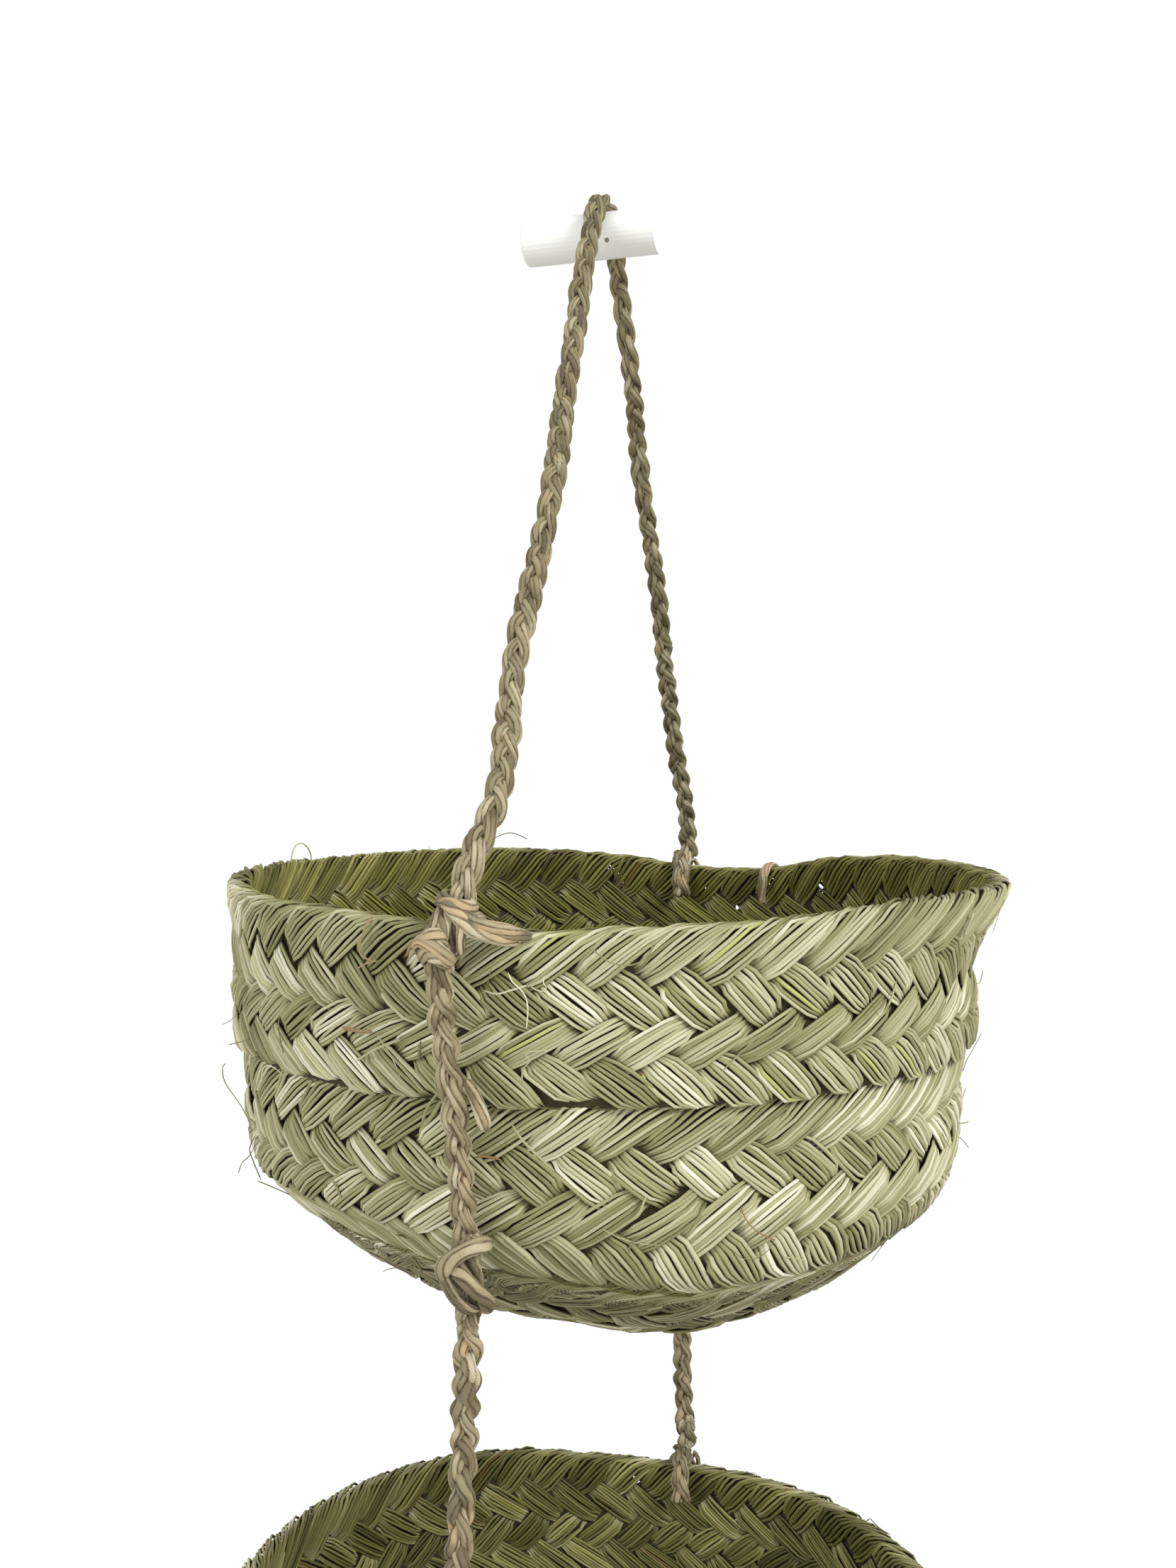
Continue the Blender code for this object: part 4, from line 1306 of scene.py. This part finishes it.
def tie_lashings(look):
    """The strands lashed along the rim at the front, and the tie round it at the back."""
    lash = turns(
        "rim_lashing", FRONT_TURNS, 1, UPPER_RIM_Z, LASH_MIDDLE, LASH_WIDTH, look, 93)
    dress(join("rim_lashing_strands", lash), "upper_basket", ["rim_lashing_rope"],
          leaf())
    angle = math.radians(BACK_TIE_TURN)
    out = Vector((math.cos(angle), math.sin(angle), 0))
    tie = []
    for reach, height in BACK_TIE:
        tie.append(tuple(Vector((0, AXIS_Y, UPPER_RIM_Z + height * MM)) + out * reach * MM))
    bind = wrap_strand("back_rim_bind", tie, TIE_WIDTH * MM, look, 95, level=(-out.y, out.x, 0))
    dress(bind, "upper_basket", ["back_rim_tie"], leaf())


class BASKET_OT_lower_ties(bpy.types.Operator):
    """Braid the drop ropes and tie the lower basket on"""

    bl_idname = "basket.lower_ties"
    bl_label = "Drop ropes and lower ties"

    def execute(self, context):
        look = context.scene.basket_rope
        for side, word, seed in ((1, "front", 110), (-1, "back", 120)):
            make_drop(side, word, seed, look)
            tie_rim(side, word, "lower_basket", LOWER_RIM_Z, seed + 5, look)
        return {"FINISHED"}


def held_rope(piece):
    """Finish a stretch of rope that is held taut at both ends."""
    piece.data.materials.append(leaf())


def make_drop(side, word, seed, look):
    """One rope between the baskets, cut where a stiff body begins."""
    x = side * DROP_X
    bend = x + side * 1.5 * MM
    aside = AXIS_Y - 4 * MM
    middle = (SWAY_Z + LEVEL_Z) / 2
    head = [(x, AXIS_Y - 0.6 * MM, YOKE_Z + 4 * MM), (x, AXIS_Y - 1.4 * MM, SWAY_Z),
            (bend, aside, middle)]
    upper, path, length = braid(f"{word}_drop_upper", head, 9 * MM, look, seed)
    held_rope(upper)
    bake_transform(upper)
    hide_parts(f"{word}_drop_head")
    lower_end = LEVEL_Z if word == "back" else LOWER_TILT_Z - 4 * MM
    foot = [(bend, aside, middle), (x, AXIS_Y - 1.4 * MM, LEVEL_Z), (x, AXIS_Y, lower_end - 1 * MM)]
    lower, path, length = braid(f"{word}_drop_lower", foot, 9 * MM, look, seed + 2)
    held_rope(lower)
    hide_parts(f"{word}_drop_rope")
    if word == "front":
        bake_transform(lower)
        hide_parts("front_drop_foot")
        return
    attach(lower, "back_drop")
    end = [(x, AXIS_Y - 1.4 * MM, LEVEL_Z + 3 * MM), (x, AXIS_Y, LOWER_TILT_Z - 4 * MM)]
    stub, _, _ = braid("back_drop_end", end, 9 * MM, look, seed + 4)
    dress(stub, "drop_feet", ["back_drop_foot"], leaf())


class BASKET_OT_seams(bpy.types.Operator):
    """Twist the cords that sew the courses together"""

    bl_idname = "basket.seams"
    bl_label = "Seam cords"

    def execute(self, context):
        for place, seed in ((UPPER, 150), (LOWER, 160)):
            for course, radius, depth in SEAMS:
                seed += 1
                name = f"{place.word}_{course}_seam_twine"
                piece = twisted_ring(name, radius * MM, -depth * MM, place, seed)
                dress(piece, place.body, [f"{place.word}_{course}_seam_cord"],
                      grass())
        return {"FINISHED"}


def twisted_ring(name, radius, height, place, seed):
    """A ring of three stems twisted together, at a height from the rim."""
    rng = np.random.default_rng(seed)
    count = max(48, round(math.tau * radius / TWINE_STEP))
    around = np.linspace(0, math.tau, count + 1)
    winds = round(math.tau * radius / TWINE_PITCH)
    lines = []
    for k in range(3):
        turn = around * winds + math.tau * k / 3
        ring, level = shape_basket(
            around, radius + TWINE_OFF * np.cos(turn), height + TWINE_OFF * np.sin(turn),
            place.uneven)
        lines.append(in_place(around, ring, level, place))
    # Painted shade on the cords: some crevice shade all round and most of the inside shade
    outward = [np.zeros_like(line) for line in lines]
    return tubes(name, lines, [TWINE_RADIUS] * 3, 0, outward=outward,
                 tint=rng.uniform(0, 0.5, 3), inner=[0.7] * 3, odd=[0.0] * 3)


def stray_line(row, place, follow=False):
    """A smooth line through rows of angle, distance out and height, which may follow the
    basket's unevenness."""
    turn, ring, height = np.array(row, float).T
    turn, ring, height = np.radians(turn), ring * MM, height * MM
    if follow:
        ring, height = shape_basket(turn, ring, height, place.uneven)
    return smooth_path(in_place(turn, ring, height, place), STRAY_STEP)[0]


def loose_line(rng, along, place, stub):
    """A fibre that leaves the outer skin somewhere and bends away from it, or the short
    broken end of a stem."""
    start = rng.uniform(0.02, 0.93) * along[-1]
    length = rng.uniform(5, 10) if stub else rng.uniform(7, 24)
    lift = rng.uniform(0.8, 2.2) if stub else rng.uniform(1.0, 5.5)
    turn = rng.uniform(0, math.tau)
    heading = rng.uniform(0, math.tau)
    bend = rng.uniform(-1, 1) * (0.3 if stub else 1.6)
    skin = np.array(SKIN, float)
    row = []
    for share in np.linspace(0, 1, 5):
        here = start + length * share * math.sin(heading + bend * share)
        reach = float(np.interp(here, along, skin[:, 1]))
        depth = float(np.interp(here, along, skin[:, 0]))
        off = lift * share**1.5 - 1.2 * (1 - share)
        steep = float(np.interp(here, along, np.gradient(skin[:, 0], along)))
        sideways = length * share * math.cos(heading + bend * share)
        degrees = math.degrees(turn + sideways / max(reach, 20))
        row.append((degrees, reach + off * steep, -depth - off * (1 - steep)))
    return stray_line(row, place, follow=True)


class BASKET_OT_strays(bpy.types.Operator):
    """Let fibres and broken stem ends stand off the baskets"""

    bl_idname = "basket.strays"
    bl_label = "Stray fibres"

    def execute(self, context):
        look = context.scene.basket_plait
        skin = np.array(SKIN, float)
        steps = np.hypot(np.diff(skin[:, 0]), np.diff(skin[:, 1]))
        along = np.concatenate(([0.0], np.cumsum(steps)))
        for place, seed in ((UPPER, 201), (LOWER, 202)):
            rng = np.random.default_rng(seed)
            lines, radii, odd = [], [], []
            for k in range(look.stray_count):
                stub = k % 3 == 0
                lines.append(loose_line(rng, along, place, stub))
                radii.append((rng.uniform(0.35, 0.6) if stub else rng.uniform(0.12, 0.24)) * MM)
                odd.append(float(rng.uniform() < 0.12) * 0.8)
            if place is UPPER:
                for thick, brown, *row in STRAYS:
                    lines.append(stray_line(row, place))
                    radii.append(thick * MM)
                    odd.append(0.9 * brown)
            # Painted shade on the strays: a little of the inside shade and none in crevices
            piece = tubes(
                f"{place.word}_stray_fibres", lines, radii, 0, odd=odd, open=[1.0] * len(lines),
                inner=[0.15] * len(lines), tint=rng.uniform(0, 1, len(lines)))
            dress(piece, place.body, [f"{place.word}_rim_plait"], grass())
        return {"FINISHED"}


class BASKET_OT_stage(bpy.types.Operator):
    """Set the pale floor, the studio light and the camera"""

    bl_idname = "basket.stage"
    bl_label = "Stage"

    def execute(self, context):
        make_floor()
        make_lights()
        make_camera()
        context.scene.view_settings.view_transform = "Standard"
        return {"FINISHED"}


def make_floor():
    """A pale floor well below the lower basket, white to the camera."""
    bm = bmesh.new()
    bmesh.ops.create_grid(bm, x_segments=2, y_segments=2, size=FLOOR_HALF)
    bmesh.ops.translate(bm, vec=(0, 0, FRAME_BOX[0][2] - FLOOR_BELOW), verts=bm.verts)
    floor = bmesh_object("pale_floor", bm)
    board = Board("pale_floor", 0.9)
    board.shader.inputs["Base Color"].default_value = full(FLOOR_COLOUR)
    glow = board.add("ShaderNodeEmission", None, {"Color": (1, 1, 1, 1), "Strength": 1.0})
    path = board.add("ShaderNodeLightPath", output=0)
    body = Value(board, board.shader.outputs[0])
    shown = board.add("ShaderNodeMixShader", None, {0: path, 1: body, 2: glow})
    out = next(node for node in board.tree.nodes if node.type == "OUTPUT_MATERIAL")
    board.tree.links.new(shown.socket, out.inputs[0])
    floor.data.materials.append(board.material)


def make_lights():
    """White surroundings and two large soft lamps."""
    world = bpy.data.worlds.new("studio")
    bpy.context.scene.world = world
    world.use_nodes = True
    tree = world.node_tree
    back = tree.nodes["Background"]
    back.inputs[0].default_value = (1, 1, 1, 1)
    path = tree.nodes.new("ShaderNodeLightPath")
    lift = tree.nodes.new("ShaderNodeMapRange")
    lift.inputs["To Min"].default_value = SURROUNDINGS
    lift.inputs["To Max"].default_value = 1.0
    tree.links.new(path.outputs["Is Camera Ray"], lift.inputs["Value"])
    tree.links.new(lift.outputs["Result"], back.inputs[1])
    for name, place, size, power in LAMPS:
        data = bpy.data.lights.new(name, "AREA")
        data.shape = "SQUARE"
        data.size = size
        data.energy = power
        lamp = link_object(name, data)
        lamp.location = place
        lamp.rotation_euler = (Vector(LAMPS_AIM) - Vector(place)).to_track_quat(
            "-Z", "Y").to_euler()


def make_camera():
    """The photograph's camera: a little above the upper rim, in front and to the side."""
    turn = math.radians(CAMERA_TURN)
    ahead = Vector((-math.cos(turn), -math.sin(turn), 0))
    right = Vector((-math.sin(turn), math.cos(turn), 0))
    data = bpy.data.cameras.new("camera")
    data.sensor_fit = "VERTICAL"
    data.sensor_height = FILM
    data.sensor_width = FILM
    data.lens = FILM * LENS_LENGTH / PICTURE_HEIGHT
    data.clip_start = 0.02
    camera = link_object("camera", data)
    camera.location = (Vector((0, AXIS_Y, UPPER_RIM_Z + CAMERA_ABOVE * MM))
                       - ahead * CAMERA_AWAY * MM - right * CAMERA_LEFT * MM)
    tip = math.radians(CAMERA_TIP)
    look = ahead * math.cos(tip) + Vector((0, 0, 1)) * math.sin(tip)
    camera.rotation_euler = look.to_track_quat("-Z", "Y").to_euler()
    bpy.context.scene.camera = camera


class BASKET_PT_panel(bpy.types.Panel):
    """Lists the basket's pieces and their settings"""

    bl_idname = "BASKET_PT_panel"
    bl_label = "Wall basket"
    bl_space_type = "VIEW_3D"
    bl_region_type = "UI"
    bl_category = "Basket"

    def draw(self, context):
        column = self.layout.column()
        for made in PIECES:
            column.operator(made.bl_idname)
        for group in (context.scene.basket_plait, context.scene.basket_rope,
                      context.scene.basket_peg):
            for key in group.bl_rna.properties.keys():
                if key not in {"rna_type", "name"}:
                    column.prop(group, key)


PIECES = (
    BASKET_OT_peg, BASKET_OT_upper, BASKET_OT_lower, BASKET_OT_strays, BASKET_OT_seams,
    BASKET_OT_hanging_rope, BASKET_OT_upper_ties, BASKET_OT_lower_ties, BASKET_OT_stage,
)
GROUPS = (
    ("basket_plait", BasketPlaitSettings),
    ("basket_rope", BasketRopeSettings),
    ("basket_peg", BasketPegSettings),
)


def register():
    """Add the settings, the operators and the panel to Blender."""
    for name, group in GROUPS:
        bpy.utils.register_class(group)
        setattr(bpy.types.Scene, name, bpy.props.PointerProperty(type=group))
    for made in (*PIECES, BASKET_PT_panel):
        bpy.utils.register_class(made)


def unregister():
    """Take them out again, in the opposite order."""
    for made in (BASKET_PT_panel, *reversed(PIECES)):
        bpy.utils.unregister_class(made)
    for name, group in reversed(GROUPS):
        delattr(bpy.types.Scene, name)
        bpy.utils.unregister_class(group)


def main():
    """Make every piece through its operator."""
    register()
    for made in PIECES:
        group, action = made.bl_idname.split(".")
        getattr(getattr(bpy.ops, group), action)()


if __name__ == "__main__":
    main()
